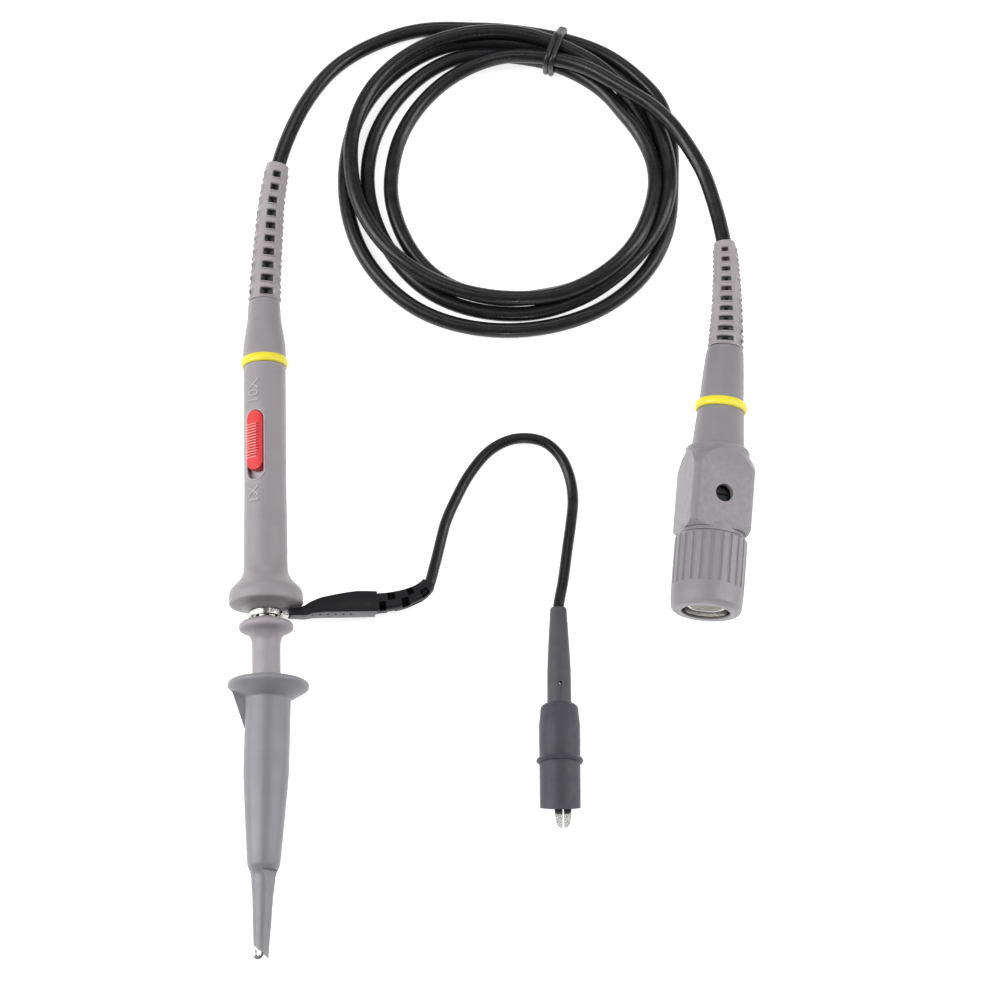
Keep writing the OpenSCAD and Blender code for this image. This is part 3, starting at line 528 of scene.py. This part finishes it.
# angle run through, shift outwards, shift up
DRAWN = [(140, 0, 0), (118, -0.1, 0), (108, -0.4, 0), (96, -1.15, 0), (84, -1.5, 0), (72, -1.6, 0), (60, -0.85, 0),
         (48, -0.45, 0), (36, -0.7, 0), (24, -1.15, 0), (12, -0.7, 0), (0, -1.55, 0), (-12, -0.8, 0), (-24, -0.1, 0),
         (-36, 0.05, 0), (-48, 0.3, 0), (-60, 0.15, 0), (-72, 0, 0), (-165, 0, 0), (-180, -0.15, 0), (-192, -0.4, 0),
         (-204, 0, 0), (-252, 0, 0), (-264, -1.0, 0), (-276, -1.4, 0), (-288, -1.5, 0), (-300, -0.7, 0),
         (-312, -0.35, 0), (-324, -0.55, 0), (-336, -1.05, 0), (-348, -0.5, 0.2), (-360, 0.3, 0.9), (-372, 0.9, 1.2),
         (-384, 0.6, 1.3), (-396, 0.3, 2.2), (-408, 0.1, 2.0), (-420, 0, 1.2), (-432, 0, 0.3), (-444, 0, 0),
         (-612, 0, 0), (-624, -1.0, 0), (-636, -1.3, 0), (-648, -1.35, 0), (-660, -0.6, 0), (-672, -0.3, 0),
         (-684, -0.3, 0), (-696, 0, 0), (-708, 0.3, 0), (-720, 0.75, 0.1), (-732, 0.8, 0.1), (-744, 0.5, 0.5),
         (-756, 0.9, 2.2), (-768, 0.5, 1.6), (-780, 0, 0.6), (-792, 0, 0), (-984, 0, 0), (-996, 0.3, 0),
         (-1008, 0.3, 0), (-1020, 0, 0), (-1056, 0, 0), (-1068, 0.2, 0), (-1080, 0.5, 0), (-1092, 1.2, 0),
         (-1104, 1.4, 0), (-1116, 1.45, 0), (-1128, 1.1, 0), (-1140, 0.6, 0), (-1152, 0, 0), (-1164, -0.3, 0),
         (-1176, -0.35, 0), (-1188, -0.2, 0), (-1200, 0.5, 0), (-1212, 0.35, 0), (-1224, 0, 0), (-1248, -0.2, 0),
         (-1272, -0.25, 0), (-1284, -0.4, 0), (-1308, -0.35, 0), (-1320, -0.25, 0.1), (-1332, 0, 0.4),
         (-1344, 0, 1.7), (-1356, 0.6, 1.4), (-1368, 0.5, 0.8), (-1380, 0.3, 0.3), (-1392, 0, 0), (-1420, 0, 0)]
CABLE = cable_points()


def tube_curve(name, pts, r, body, mat, res=7):
    cu = bpy.data.curves.new(name, "CURVE")
    cu.dimensions = "3D"
    cu.bevel_depth = r * 0.001
    cu.bevel_resolution = res
    cu.use_fill_caps = True
    cu.twist_mode = "MINIMUM"
    sp = cu.splines.new("POLY")
    sp.points.add(len(pts) - 1)
    for k, q in enumerate(pts):
        sp.points[k].co = (q[0] * 0.001, q[1] * 0.001, q[2] * 0.001, 1.0)
    sp.use_smooth = True
    cu.materials.append(mat)
    ob = bpy.data.objects.new(name, cu)
    SC.collection.objects.link(ob)
    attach(ob, body)
    return ob


cable = tube_curve("main_cable", CABLE, 1.6, "probe", M["cable"])
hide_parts("cable_front", "cable_coil", "cable_rear")


# ------------------------------------------------------------- ground lead
LEAD = [(30.8, -9.5, 2.5), (33.15, -8, 2.1), (34.7, -3, 1.45), (36, 2, 1.2), (37.25, 6.5, 1.15), (39.4, 11.3, 1.15),
        (42.3, 16.6, 1.15), (46.3, 21.5, 1.15), (50.8, 24.1, 1.15), (55.2, 24.5, 1.15), (59, 23.2, 1.15),
        (62, 19.8, 1.15), (63.6, 15.2, 1.15), (64, 10.4, 1.2), (63.4, 5.4, 1.5), (62.5, 0, 2.3),
        (61.2, -8, 3.9), (60, -14, 4.8), (59.85, -20, 4.8), (59.64, -28, 4.8)]
LEAD_PTS = resample(np.array(catmull(LEAD, 12)), 1.0)
lead = tube_curve("ground_lead", LEAD_PTS, 1.15, "ground_lead", M["lead"], res=6)
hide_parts("ground_lead_wire")


def length(p):
    return float(np.linalg.norm(np.diff(p, axis=0), axis=1).sum())


print("cable length mm", length(CABLE), "lead", length(LEAD_PTS))


# --------------------------------------------------------------- cable tie
def closed_tube(store, pts, r, n=14):
    base = len(store[0])
    m = len(pts)
    for i in range(m):
        t = pts[(i + 1) % m] - pts[i - 1]
        t = t / np.linalg.norm(t)
        b = np.cross(t, TIE_N)
        b /= np.linalg.norm(b)
        for k in range(n):
            a = 2 * pi * k / n
            store[0].append(pts[i] + b * (r * cos(a)) + TIE_N * (r * sin(a)))
    for i in range(m):
        for k in range(n):
            i2, k2 = (i + 1) % m, (k + 1) % n
            store[1].append((base + i * n + k, base + i * n + k2, base + i2 * n + k2, base + i2 * n + k))


TIE_A = rad(69.7)
TIE_U = np.array([cos(TIE_A), sin(TIE_A), 0.0])
TIE_N = np.array([-sin(TIE_A), cos(TIE_A), 0.0])


def tie_loop():
    """The band's line round the bundle: the taut outline of the cables it passes over."""
    o = np.array([CX, CY, 0.0])
    along, out = (CABLE - o) @ TIE_N, (CABLE - o) @ TIE_U
    hits = []
    for i in range(len(CABLE) - 1):
        if along[i] * along[i + 1] < 0 and 20 < out[i] < 45:
            f = along[i] / (along[i] - along[i + 1])
            q = CABLE[i] + f * (CABLE[i + 1] - CABLE[i])
            hits.append((float((q - o) @ TIE_U), float(q[2])))
    ring = []
    for r, z in hits:
        for k in range(48):
            a = 2 * pi * k / 48
            ring.append((r + 2.08 * cos(a), z + 2.08 * sin(a)))
    ring.sort()

    def half(pts):
        h = []
        for q in pts:
            while len(h) > 1 and ((h[-1][0] - h[-2][0]) * (q[1] - h[-2][1])
                                  - (h[-1][1] - h[-2][1]) * (q[0] - h[-2][0])) <= 0:
                h.pop()
            h.append(q)
        return h[:-1]

    hull = np.array(half(ring) + half(ring[::-1]))
    hull = np.vstack([hull, hull[:1]])
    seg = np.linalg.norm(np.diff(hull, axis=0), axis=1)
    s = np.concatenate([[0], np.cumsum(seg)])
    q = np.linspace(0, s[-1], 97)[:-1]
    flat = np.stack([np.interp(q, s, hull[:, k]) for k in range(2)], 1)
    for _ in range(3):
        flat = 0.25 * np.roll(flat, 1, 0) + 0.5 * flat + 0.25 * np.roll(flat, -1, 0)
    flat[:, 1] = np.maximum(flat[:, 1], 0.66)
    return flat


def cable_tie():
    flat = tie_loop()
    o = np.array([CX, CY, 0.0])
    store = ([], [])
    lo, hi = flat[:, 0].min(), flat[:, 0].max()
    for side in (-1, 1):
        pts = []
        for r, z in flat:
            f = (r - lo) / (hi - lo)
            gap = (0.58 - 0.26 * f ** 3) * side
            swell = 0.22 * max(0.0, (f - 0.86) / 0.14) if z > 2 else 0.0
            pts.append(o + TIE_U * (r + swell) + np.array([0, 0, 1.0]) * (z + swell * 0.6) + TIE_N * gap)
        closed_tube(store, pts, 0.64)
    ob = mesh_piece("cable_tie_band", store[0], store[1], "probe", M["cord"], sharp=60.0)
    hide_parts("cable_tie")


cable_tie()


# ------------------------------------------------- strain reliefs with windows
# 48 stations round a square, twelve to a side
SQ = []
for _k in range(48):
    _s, _f = divmod(_k, 12)
    _f = _f / 6.0 - 1.0
    SQ.append([(_f, -1.0), (1.0, _f), (-_f, 1.0), (-1.0, -_f)][_s])


def soft_square(a, b, n):
    out = []
    for x, y in SQ:
        r = (abs(x) ** n + abs(y) ** n) ** (-1.0 / n)
        out.append((a * x * r, b * y * r))
    return out


class Bend:
    """A centreline in the ground plane, addressed by its Y, with a radius along it."""

    def __init__(self, route, radii, z):
        c = np.array(catmull([(x, y, z) for x, y in route], 10))
        self.y, self.x, self.z = c[:, 1], c[:, 0], z
        self.ry, self.rr = zip(*radii)

    def radius(self, y):
        return float(np.interp(y, self.ry, self.rr))

    def at(self, y, phi, r):
        x = float(np.interp(y, self.y, self.x))
        a = math.atan2(float(np.interp(y + 0.8, self.y, self.x)) - float(np.interp(y - 0.8, self.y, self.x)), 1.6)
        return np.array([x + cos(a) * r * sin(phi), y - sin(a) * r * sin(phi), self.z + r * cos(phi)])


def windowed_boot(name, node, bend, rows, roll, y0, y1, end_in, floor_kind, body, cord_r=1.42):
    """Rows of four windows with raised rims round a tapering sleeve, open down to the cable; the walls and floor down
    in each window are painted darker as painted shade.
    """
    verts, faces, fmat = [], [], []

    def ring_of(points):
        base = len(verts)
        verts.extend(points)
        return base

    def bridge(a, b, mat=0, n=48):
        for k in range(n):
            k2 = (k + 1) % n
            faces.append((a + k, a + k2, b + k2, b + k))
            fmat.append(mat)

    for i, (yc, w, h) in enumerate(rows):
        lo = yc - (y0 if i == 0 else 0.5 * (yc + rows[i - 1][0]))
        hi = (0.5 * (yc + rows[i + 1][0]) if i + 1 < len(rows) else yc + lo) - yc
        rc = bend.radius(yc)
        a, b = w / 2, h / 2
        for c in range(4):
            phi0 = rad(roll + 90.0 * c)

            def surf(u, v, dh=0.0, absolute=None):
                r = absolute if absolute is not None else bend.radius(yc + v) + dh
                return bend.at(yc + v, phi0 + u / rc, r)

            cell = [(x * rc * pi / 4, y * (hi if y >= 0 else lo)) for x, y in SQ]
            foot = soft_square(a + 0.42, b + 0.36, 5)
            # the last number of each step is a material index; 1 is the darker grey painted shade down inside the
            # window
            steps = [(cell, 0.0, None, 0),
                     ([(0.45 * p[0] + 0.55 * q[0], 0.45 * p[1] + 0.55 * q[1]) for p, q in zip(cell, foot)], 0.0, None, 0),
                     (foot, 0.0, None, 0),
                     (soft_square(a + 0.34, b + 0.28, 5), 0.13, None, 0),
                     (soft_square(a + 0.23, b + 0.19, 6), 0.25, None, 0),
                     (soft_square(a + 0.11, b + 0.10, 6), 0.26, None, 0),
                     (soft_square(a + 0.02, b + 0.02, 7), 0.13, None, 0),
                     (soft_square(a - 0.05, b - 0.04, 8), -0.12, None, 0),
                     (soft_square(a - 0.10, b - 0.07, 8), -0.42, None, 1)]
            if floor_kind == "waist":
                steps += [(soft_square(a * 0.80, b * 0.84, 8), -0.75, None, 1),
                          (soft_square(a * 0.52, b * 0.80, 8), -1.15, None, 1),
                          (soft_square(a * 0.50, b * 0.78, 8), 0.0, cord_r, 1)]
            else:
                steps += [(soft_square(a * 0.84, b * 0.80, 8), -0.52, None, 1),
                          (soft_square(a * 0.50, b * 0.66, 5), -0.58, None, 1),
                          (soft_square(a * 0.44, b * 0.60, 5), -0.80, None, 1),
                          (soft_square(a * 0.42, b * 0.58, 5), 0.0, cord_r, 1)]
            prev = None
            for pts, dh, ab, mat in steps:
                cur = ring_of([surf(u, v, dh, ab) for u, v in pts])
                if prev is not None:
                    bridge(prev, cur, mat)
                prev = cur
            mid = ring_of([surf(0, 0, 0, cord_r - 0.03)])
            for k in range(48):
                faces.append((prev + k, prev + (k + 1) % 48, mid))
                fmat.append(1)
    # plain ends, 48 stations round the sleeve
    def hoop(y, r):
        return ring_of([bend.at(y, rad(roll - 45.0 + 7.5 * k), r) for k in range(48)])

    first = rows[0][0] - (rows[0][0] - y0)
    r0 = bend.radius(first)
    hoops = [hoop(first, r0), hoop(first - 0.06, r0 - 0.05), hoop(first - 0.08, 1.6), hoop(first + 0.5, 1.56)]
    for p, q in zip(hoops, hoops[1:]):
        bridge(p, q)
    yl = rows[-1][0]
    last = yl + (yl - 0.5 * (yl + rows[-2][0]))
    re = bend.radius(y1)
    prof = [(last, bend.radius(last)), (y1 - end_in, re + 0.03), (y1 - 0.22, re), (y1 - 0.06, re - 0.10), (y1, re - 0.26),
            (y1 - 0.02, 1.72), (y1 - 0.2, 1.6), (y1 - 1.2, 1.56)]
    hoops = [hoop(y, r) for y, r in prof]
    for p, q in zip(hoops, hoops[1:]):
        bridge(p, q)
    # the second material is the painted shade inside the windows
    ob = mesh_piece(name, verts, faces, body, M["boot"], sharp=50.0, merge=0.004,
                    mats=[M["boot"], M["boot_deep"]], face_mats=fmat)
    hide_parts(node)
    return ob


TAIL_BEND = Bend([(0, 48), (0.05, 52), (0.1, 54.35), (0.3, 59), (0.65, 64), (1.1, 70), (1.6, 76), (2.4, 81.5), (3.1, 85.5), (3.8, 88)],
                 [(54.2, 3.28), (59, 3.13), (64, 3.0), (70, 2.86), (76, 2.68), (81.5, 2.54), (85.5, 2.46)], 8.4)
tail_rows = [(55.5 + 3.01 * k, float(np.interp(k, [0, 5, 9], [3.0, 2.25, 1.85])), float(np.interp(k, [0, 9], [1.55, 1.4])))
             for k in range(10)]
windowed_boot("tail_strain_relief", "tail_boot", TAIL_BEND, tail_rows, 11.5, 54.24, 85.5, 0.9, "waist", "probe")

REAR_BEND = Bend([(96.25, 33.5), (96.73, 37.42), (97.15, 40.85), (97.4, 43), (97.85, 48.3), (98.1, 52), (98.3, 57.4), (98.35, 60.6),
                  (98.3, 63.4), (98.2, 66)],
                 [(40.95, 3.62), (43, 3.5), (48.3, 3.2), (52, 3.0), (57.4, 2.72), (60.6, 2.58), (63.4, 2.42), (65, 2.3)], 7.9)
rear_rows = [(42.1 + 2.28 * k, float(np.interp(k, [0, 4, 9], [3.9, 2.7, 1.6])), float(np.interp(k, [0, 9], [1.1, 1.0])))
             for k in range(10)]
windowed_boot("connector_strain_relief", "bnc_boot", REAR_BEND, rear_rows, -6.0, 41.0, 65.0, 0.7, "slot", "probe")


# --------------------------------------------------------- switch and its slot
def wrapped_bar(path, half_w, top, bottom, axis, seg_round=5):
    """A bar along a path of (phi, t) on an axis, with a rounded back standing up to a radius."""
    verts, faces = [], []
    prof = []
    for k in range(seg_round + 1):
        a = pi * k / seg_round
        prof.append((half_w * cos(a), bottom + (top - bottom) * (0.45 + 0.55 * sin(a))))
    prof.append((-half_w, bottom))
    prof.insert(0, (half_w, bottom))
    m = len(prof)
    n = len(path)
    for i, (phi, t) in enumerate(path):
        p0 = path[max(i - 1, 0)]
        p1 = path[min(i + 1, n - 1)]
        rm = 0.5 * (top + bottom)
        dx, dy = (p1[0] - p0[0]) * rm, p1[1] - p0[1]
        ln = math.hypot(dx, dy) or 1.0
        nx, ny = -dy / ln, dx / ln
        for off, r in prof:
            verts.append(axis.at(r, phi + nx * off / rm, t + ny * off))
    for i in range(n - 1):
        for k in range(m):
            k2 = (k + 1) % m
            faces.append((i * m + k, i * m + k2, (i + 1) * m + k2, (i + 1) * m + k))
    return verts, faces, m, n


def add_mesh(store, verts, faces, m=None, n=None, caps=True):
    base = len(store[0])
    store[0].extend(verts)
    store[1].extend([tuple(base + i for i in f) for f in faces])
    if caps and m:
        store[1].append(tuple(base + k for k in range(m)))
        store[1].append(tuple(base + (n - 1) * m + k for k in reversed(range(m))))


# the ribs are raised geometry; their pale red is a painted highlight along each ridge
ribs = ([], [])
for k in range(13):
    y = 18.22 + 0.6 * k
    path = [(rad(a), y) for a in np.linspace(-50.5, -19.0, 12)]
    v, f, m, n = wrapped_bar(path, 0.135, 4.82, 4.5, HEAD)
    add_mesh(ribs, v, f, m, n)
mesh_piece("switch_ribs", ribs[0], ribs[1], "range_switch", M["rib"], sharp=50.0)

rim = []
for k in range(64):
    a = 2 * pi * k / 64
    x, t = 2.08 * cos(a), 2.08 * sin(a)
    t = t + (26.65 if t > 0 else 15.35)
    rim.append((rad(-26.0) + math.asin(max(-1, min(1, x / 4.44))), t))
rim = rim + [rim[0]]
dense = []
for p, q in zip(rim, rim[1:]):
    cnt = 24 if abs(q[1] - p[1]) > 3 else 1
    for j in range(cnt):
        dense.append((p[0] + (q[0] - p[0]) * j / cnt, p[1] + (q[1] - p[1]) * j / cnt))
dense.append(dense[0])
v, f, m, n = wrapped_bar(dense, 0.17, 4.56, 4.3, HEAD)
mesh_piece("switch_slot_rim", v, f, "probe", M["rim"], sharp=60.0)


def dust_shield():
    """Pale strip under the slider that closes the slot behind it; its pale grey is painted light, lifting the shade
    down in the slot.
    """
    a0 = rad(-26.0)
    up = np.array([sin(a0), 0, cos(a0)])
    side = np.array([cos(a0), 0, -sin(a0)])
    prof = [(-1.9, 2.36), (-1.9, 2.5), (-1.8, 2.6), (1.8, 2.6), (1.9, 2.5), (1.9, 2.36)]
    verts, faces = [], []
    ys = [13.62, 13.7, 15.2, 16.6, 16.7]
    for i, y in enumerate(ys):
        k = 0.96 if i in (0, 4) else 1.0
        for x, h in prof:
            verts.append(np.array([0, y, 8.4]) + side * (x * k) + up * h)
    m = len(prof)
    for i in range(len(ys) - 1):
        for k in range(m):
            k2 = (k + 1) % m
            faces.append((i * m + k, i * m + k2, (i + 1) * m + k2, (i + 1) * m + k))
    faces.append(tuple(range(m)))
    faces.append(tuple((len(ys) - 1) * m + k for k in reversed(range(m))))
    # the strip takes the pale rim grey as painted light inside the shaded slot
    mesh_piece("switch_dust_shield", verts, faces, "range_switch", M["rim"], sharp=40.0)


dust_shield()


def wrapped_text(name, text, size, phi_mid, y_mid, radius, proud, body, mat):
    """Raised figures along the barrel, read with the head pointing down."""
    cu = bpy.data.curves.new(name + "_c", "FONT")
    cu.body = text
    cu.size = 1.0
    cu.align_x, cu.align_y = "CENTER", "CENTER"
    cu.extrude = 0.06
    cu.bevel_depth = 0.012
    cu.resolution_u = 4
    tmp = bpy.data.objects.new(name + "_t", cu)
    SC.collection.objects.link(tmp)
    dg = bpy.context.evaluated_depsgraph_get()
    dg.update()
    src = bpy.data.meshes.new_from_object(tmp.evaluated_get(dg))
    SC.collection.objects.unlink(tmp)
    bpy.data.objects.remove(tmp)
    bm = bmesh.new()
    bm.from_mesh(src)
    bmesh.ops.subdivide_edges(bm, edges=[e for e in bm.edges if e.calc_length() > 0.12], cuts=2)
    bm.to_mesh(src)
    bm.free()
    verts = []
    for p in src.vertices:
        x, y, z = p.co
        # text x runs towards +Y of the head, text y towards -X
        r = radius + (z + 0.072) / 0.144 * proud
        verts.append(HEAD.at(r, rad(phi_mid) - (y * size) / radius, y_mid + x * size))
    faces = [tuple(p.vertices) for p in src.polygons]
    bpy.data.meshes.remove(src)
    return mesh_piece(name, verts, faces, body, mat, sharp=40.0)


wrapped_text("figures_upper", "10X", 3.2, -27.0, 32.7, 4.36, 0.22, "probe", M["figure"])
wrapped_text("figures_lower", "1X", 3.2, -28.0, 10.1, 4.34, 0.22, "probe", M["figure"])


# ------------------------------------------------------- ground boot and relief
BA = rad(11.6)


def on_boot(x, y, z):
    return np.array([x * cos(BA) + z * sin(BA), y, 8.4 - x * sin(BA) + z * cos(BA)])


def ground_boot():
    plus = catmull([(4.6, -13.4), (6.2, -13.3), (7.6, -12.95), (9, -12.05), (11.1, -11.1), (13, -10.6),
                    (15.2, -10.1), (17.5, -9.65), (19.3, -9.45), (22.8, -9.4)], 4)
    front_x = [4.6, 5.2, 8.3, 9.6, 12, 18, 22.8]
    front_top = [-14.95, -15.02, -15.0, -14.5, -14.25, -13.98, -13.8]
    front_low = [-15.0, -15.08, -15.05, -14.75, -14.55, -14.3, -14.05]
    verts, faces, fmat = [], [], []
    xs = np.linspace(4.6, 22.8, 40)
    px, py = [q[0] for q in plus], [q[1] for q in plus]
    m = 0
    for x in xs:
        yp = float(np.interp(x, px, py))
        yn = float(np.interp(x, front_x, front_low))
        yt = float(np.interp(x, front_x, front_top))
        hh = float(np.interp(x, [4.6, 5.4, 8, 14, 22.8], [1.35, 1.55, 1.75, 1.88, 1.85]))
        c = min(0.22, hh * 0.3)
        sec = [(yn, -hh + c), (yn + c * 0.3, -hh + c * 0.3), (yn + c, -hh), (yp - c, -hh), (yp - c * 0.3, -hh + c * 0.3),
               (yp, -hh + c), (yp, hh - c), (yp - c * 0.3, hh - c * 0.3), (yp - c, hh), (yt + c * 0.7, hh + 0.02),
               (yt + c * 0.2, hh - c * 0.2), (yt, hh - c * 0.7)]
        m = len(sec)
        verts.extend([on_boot(x, y, z) for y, z in sec])
    n = len(xs)
    for i in range(n - 1):
        for k in range(m):
            k2 = (k + 1) % m
            faces.append((i * m + k, i * m + k2, (i + 1) * m + k2, (i + 1) * m + k))
            # the front face takes the lighter grey rubber: painted light on the side facing the front
            fmat.append(1 if k in (11, 0, 10) and xs[i] > 4.9 else 0)
    faces.append(tuple(range(m)))
    fmat.append(0)
    faces.append(tuple((n - 1) * m + k for k in reversed(range(m))))
    fmat.append(0)
    # six small pips on the front face
    for x in (9.55, 11.15, 12.75, 14.35, 15.95, 17.5):
        yn = 0.4 * float(np.interp(x, front_x, front_low)) + 0.6 * float(np.interp(x, front_x, front_top))
        base = len(verts)
        for rr, dep in ((0.30, -0.02), (0.30, 0.05), (0.2, 0.1)):
            for k in range(12):
                a = 2 * pi * k / 12
                verts.append(on_boot(x + rr * cos(a), yn - dep, 0.35 + rr * sin(a)))
        for q in range(2):
            for k in range(12):
                k2 = (k + 1) % 12
                faces.append((base + q * 12 + k, base + q * 12 + k2, base + (q + 1) * 12 + k2, base + (q + 1) * 12 + k))
                fmat.append(0)
        faces.append(tuple(base + 24 + k for k in range(12)))
        fmat.append(0)
    ob = mesh_piece("ground_boot_wedge", verts, faces, "ground_lead", M["rubber"], sharp=38.0,
                    mats=[M["rubber"], M["grey_side"]], face_mats=fmat)
    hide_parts("ground_boot")
    # strain relief: a squarish bar with openings cut alternately from its corners and sides
    route = np.array(catmull([(21.2, -11.8, 4.05), (22, -11.7, 3.9), (25.4, -11.25, 3.3), (28.4, -10.5, 2.8), (31, -9.4, 2.5),
                              (32.7, -8.1, 2.25), (33.3, -7.2, 2.1)], 16))
    route = resample(route, 0.13)
    seg = np.linalg.norm(np.diff(route, axis=0), axis=1)
    s = np.concatenate([[0], np.cumsum(seg)])
    # windows: along, along, angle from the top towards the front (-), half angle
    wins = [(1.6, 2.9, 33, 28), (3.6, 5.1, -30, 28), (3.5, 5.0, 112, 24), (6.3, 7.8, 40, 32), (8.2, 9.4, -26, 26),
            (8.4, 10.1, 108, 24), (10.6, 12.0, 33, 28), (1.6, 2.9, -118, 28), (6.2, 7.6, -112, 28), (3.6, 5.1, -160, 20)]
    nphi = 72
    rv, rf, fm = [], [], []
    # deep marks the sunk window floors, which take the near-black painted shade
    deep = []
    for i, q in enumerate(route):
        t = route[min(i + 1, len(route) - 1)] - route[max(i - 1, 0)]
        t /= np.linalg.norm(t)
        side = np.cross(t, [0, 0, 1.0])
        side /= np.linalg.norm(side)
        up = np.cross(side, t)
        half = float(np.interp(s[i], [0, 6, 10.5, 12.4, s[-1]], [1.93, 1.84, 1.68, 1.55, 1.42]))
        for k in range(nphi):
            a = 2 * pi * k / nphi
            e = 4.6
            r = half * (abs(cos(a)) ** e + abs(sin(a)) ** e) ** (-1 / e)
            for s0, s1, ac, ha in wins:
                d = (math.degrees(a) - ac + 180) % 360 - 180
                if s0 < s[i] < s1 and abs(d) < ha:
                    r = 1.17
            deep.append(r < 1.2)
            rv.append(q + side * (r * sin(a)) + up * (r * cos(a)))
    nr = len(route)
    for i in range(nr - 1):
        for k in range(nphi):
            k2 = (k + 1) % nphi
            quad = (i * nphi + k, i * nphi + k2, (i + 1) * nphi + k2, (i + 1) * nphi + k)
            rf.append(quad)
            fm.append(1 if any(deep[q] for q in quad) else 0)
    rf.append(tuple(range(nphi)))
    rf.append(tuple((nr - 1) * nphi + k for k in reversed(range(nphi))))
    # faces of the sunk openings take the near-black rubber as painted shade
    mesh_piece("ground_strain_relief", rv, rf, "ground_lead", M["rubber"], sharp=40.0,
               mats=[M["rubber"], M["hole"]], face_mats=fm + [0, 0])


ground_boot()


# -------------------------------------------------------------- floor, light
def stage_and_light():
    me = bpy.data.meshes.new("floor")
    s = 3.0
    me.from_pydata([(-s, -s, 0), (s, -s, 0), (s, s, 0), (-s, s, 0)], [], [(0, 1, 2, 3)])
    fl = bpy.data.objects.new("floor", me)
    SC.collection.objects.link(fl)
    m = Mat("pale_floor")
    m.set(Base_Color=(0.6, 0.6, 0.603, 1), Roughness=0.8)
    m.b.inputs["Specular IOR Level"].default_value = 0.0
    m.b.inputs["Emission Color"].default_value = (1, 1, 1, 1)
    m.b.inputs["Emission Strength"].default_value = 0.80
    me.materials.append(m.m)
    w = bpy.data.worlds.new("studio")
    SC.world = w
    w.use_nodes = True
    bg = w.node_tree.nodes["Background"]
    bg.inputs["Color"].default_value = (1, 1, 1, 1)
    bg.inputs["Strength"].default_value = 0.13

    def area(name, loc, at, size, energy, size_y=None, color=(1, 1, 1)):
        li = bpy.data.lights.new(name, "AREA")
        li.shape = "RECTANGLE"
        li.size = size
        li.size_y = size_y or size
        li.energy = energy
        li.color = color
        ob = bpy.data.objects.new(name, li)
        SC.collection.objects.link(ob)
        ob.location = loc
        ob.rotation_euler = (Vector(at) - Vector(loc)).to_track_quat("-Z", "Y").to_euler()
        return ob

    area("box_left", (-0.72, 0.06, 0.60), (0.04, 0.02, 0.0), 0.36, 9.0, 1.2)
    area("box_right", (0.86, 0.06, 0.52), (0.05, 0.02, 0.0), 0.30, 6.1, 1.2)
    area("back_soft", (0.05, 0.85, 0.75), (0.05, 0.02, 0.0), 0.9, 2.0, 0.35)
    area("strip_top", (0.17, 0.10, 0.95), (0.07, 0.06, 0.0), 0.05, 0.5, 0.9)
    sp = bpy.data.lights.new("mouth_fill", "SPOT")
    sp.energy, sp.spot_size, sp.spot_blend, sp.shadow_soft_size = 2.2, rad(13.0), 0.7, 0.03
    so = bpy.data.objects.new("mouth_fill", sp)
    SC.collection.objects.link(so)
    so.location = (0.060, -0.46, 0.13)
    so.rotation_euler = (Vector((0.0903, -0.016, 0.007)) - so.location).to_track_quat("-Z", "Y").to_euler()
    SC.view_settings.view_transform = "Standard"
    SC.view_settings.look = "None"
    SC.view_settings.exposure = 0.0
    SC.view_settings.gamma = 1.0


stage_and_light()

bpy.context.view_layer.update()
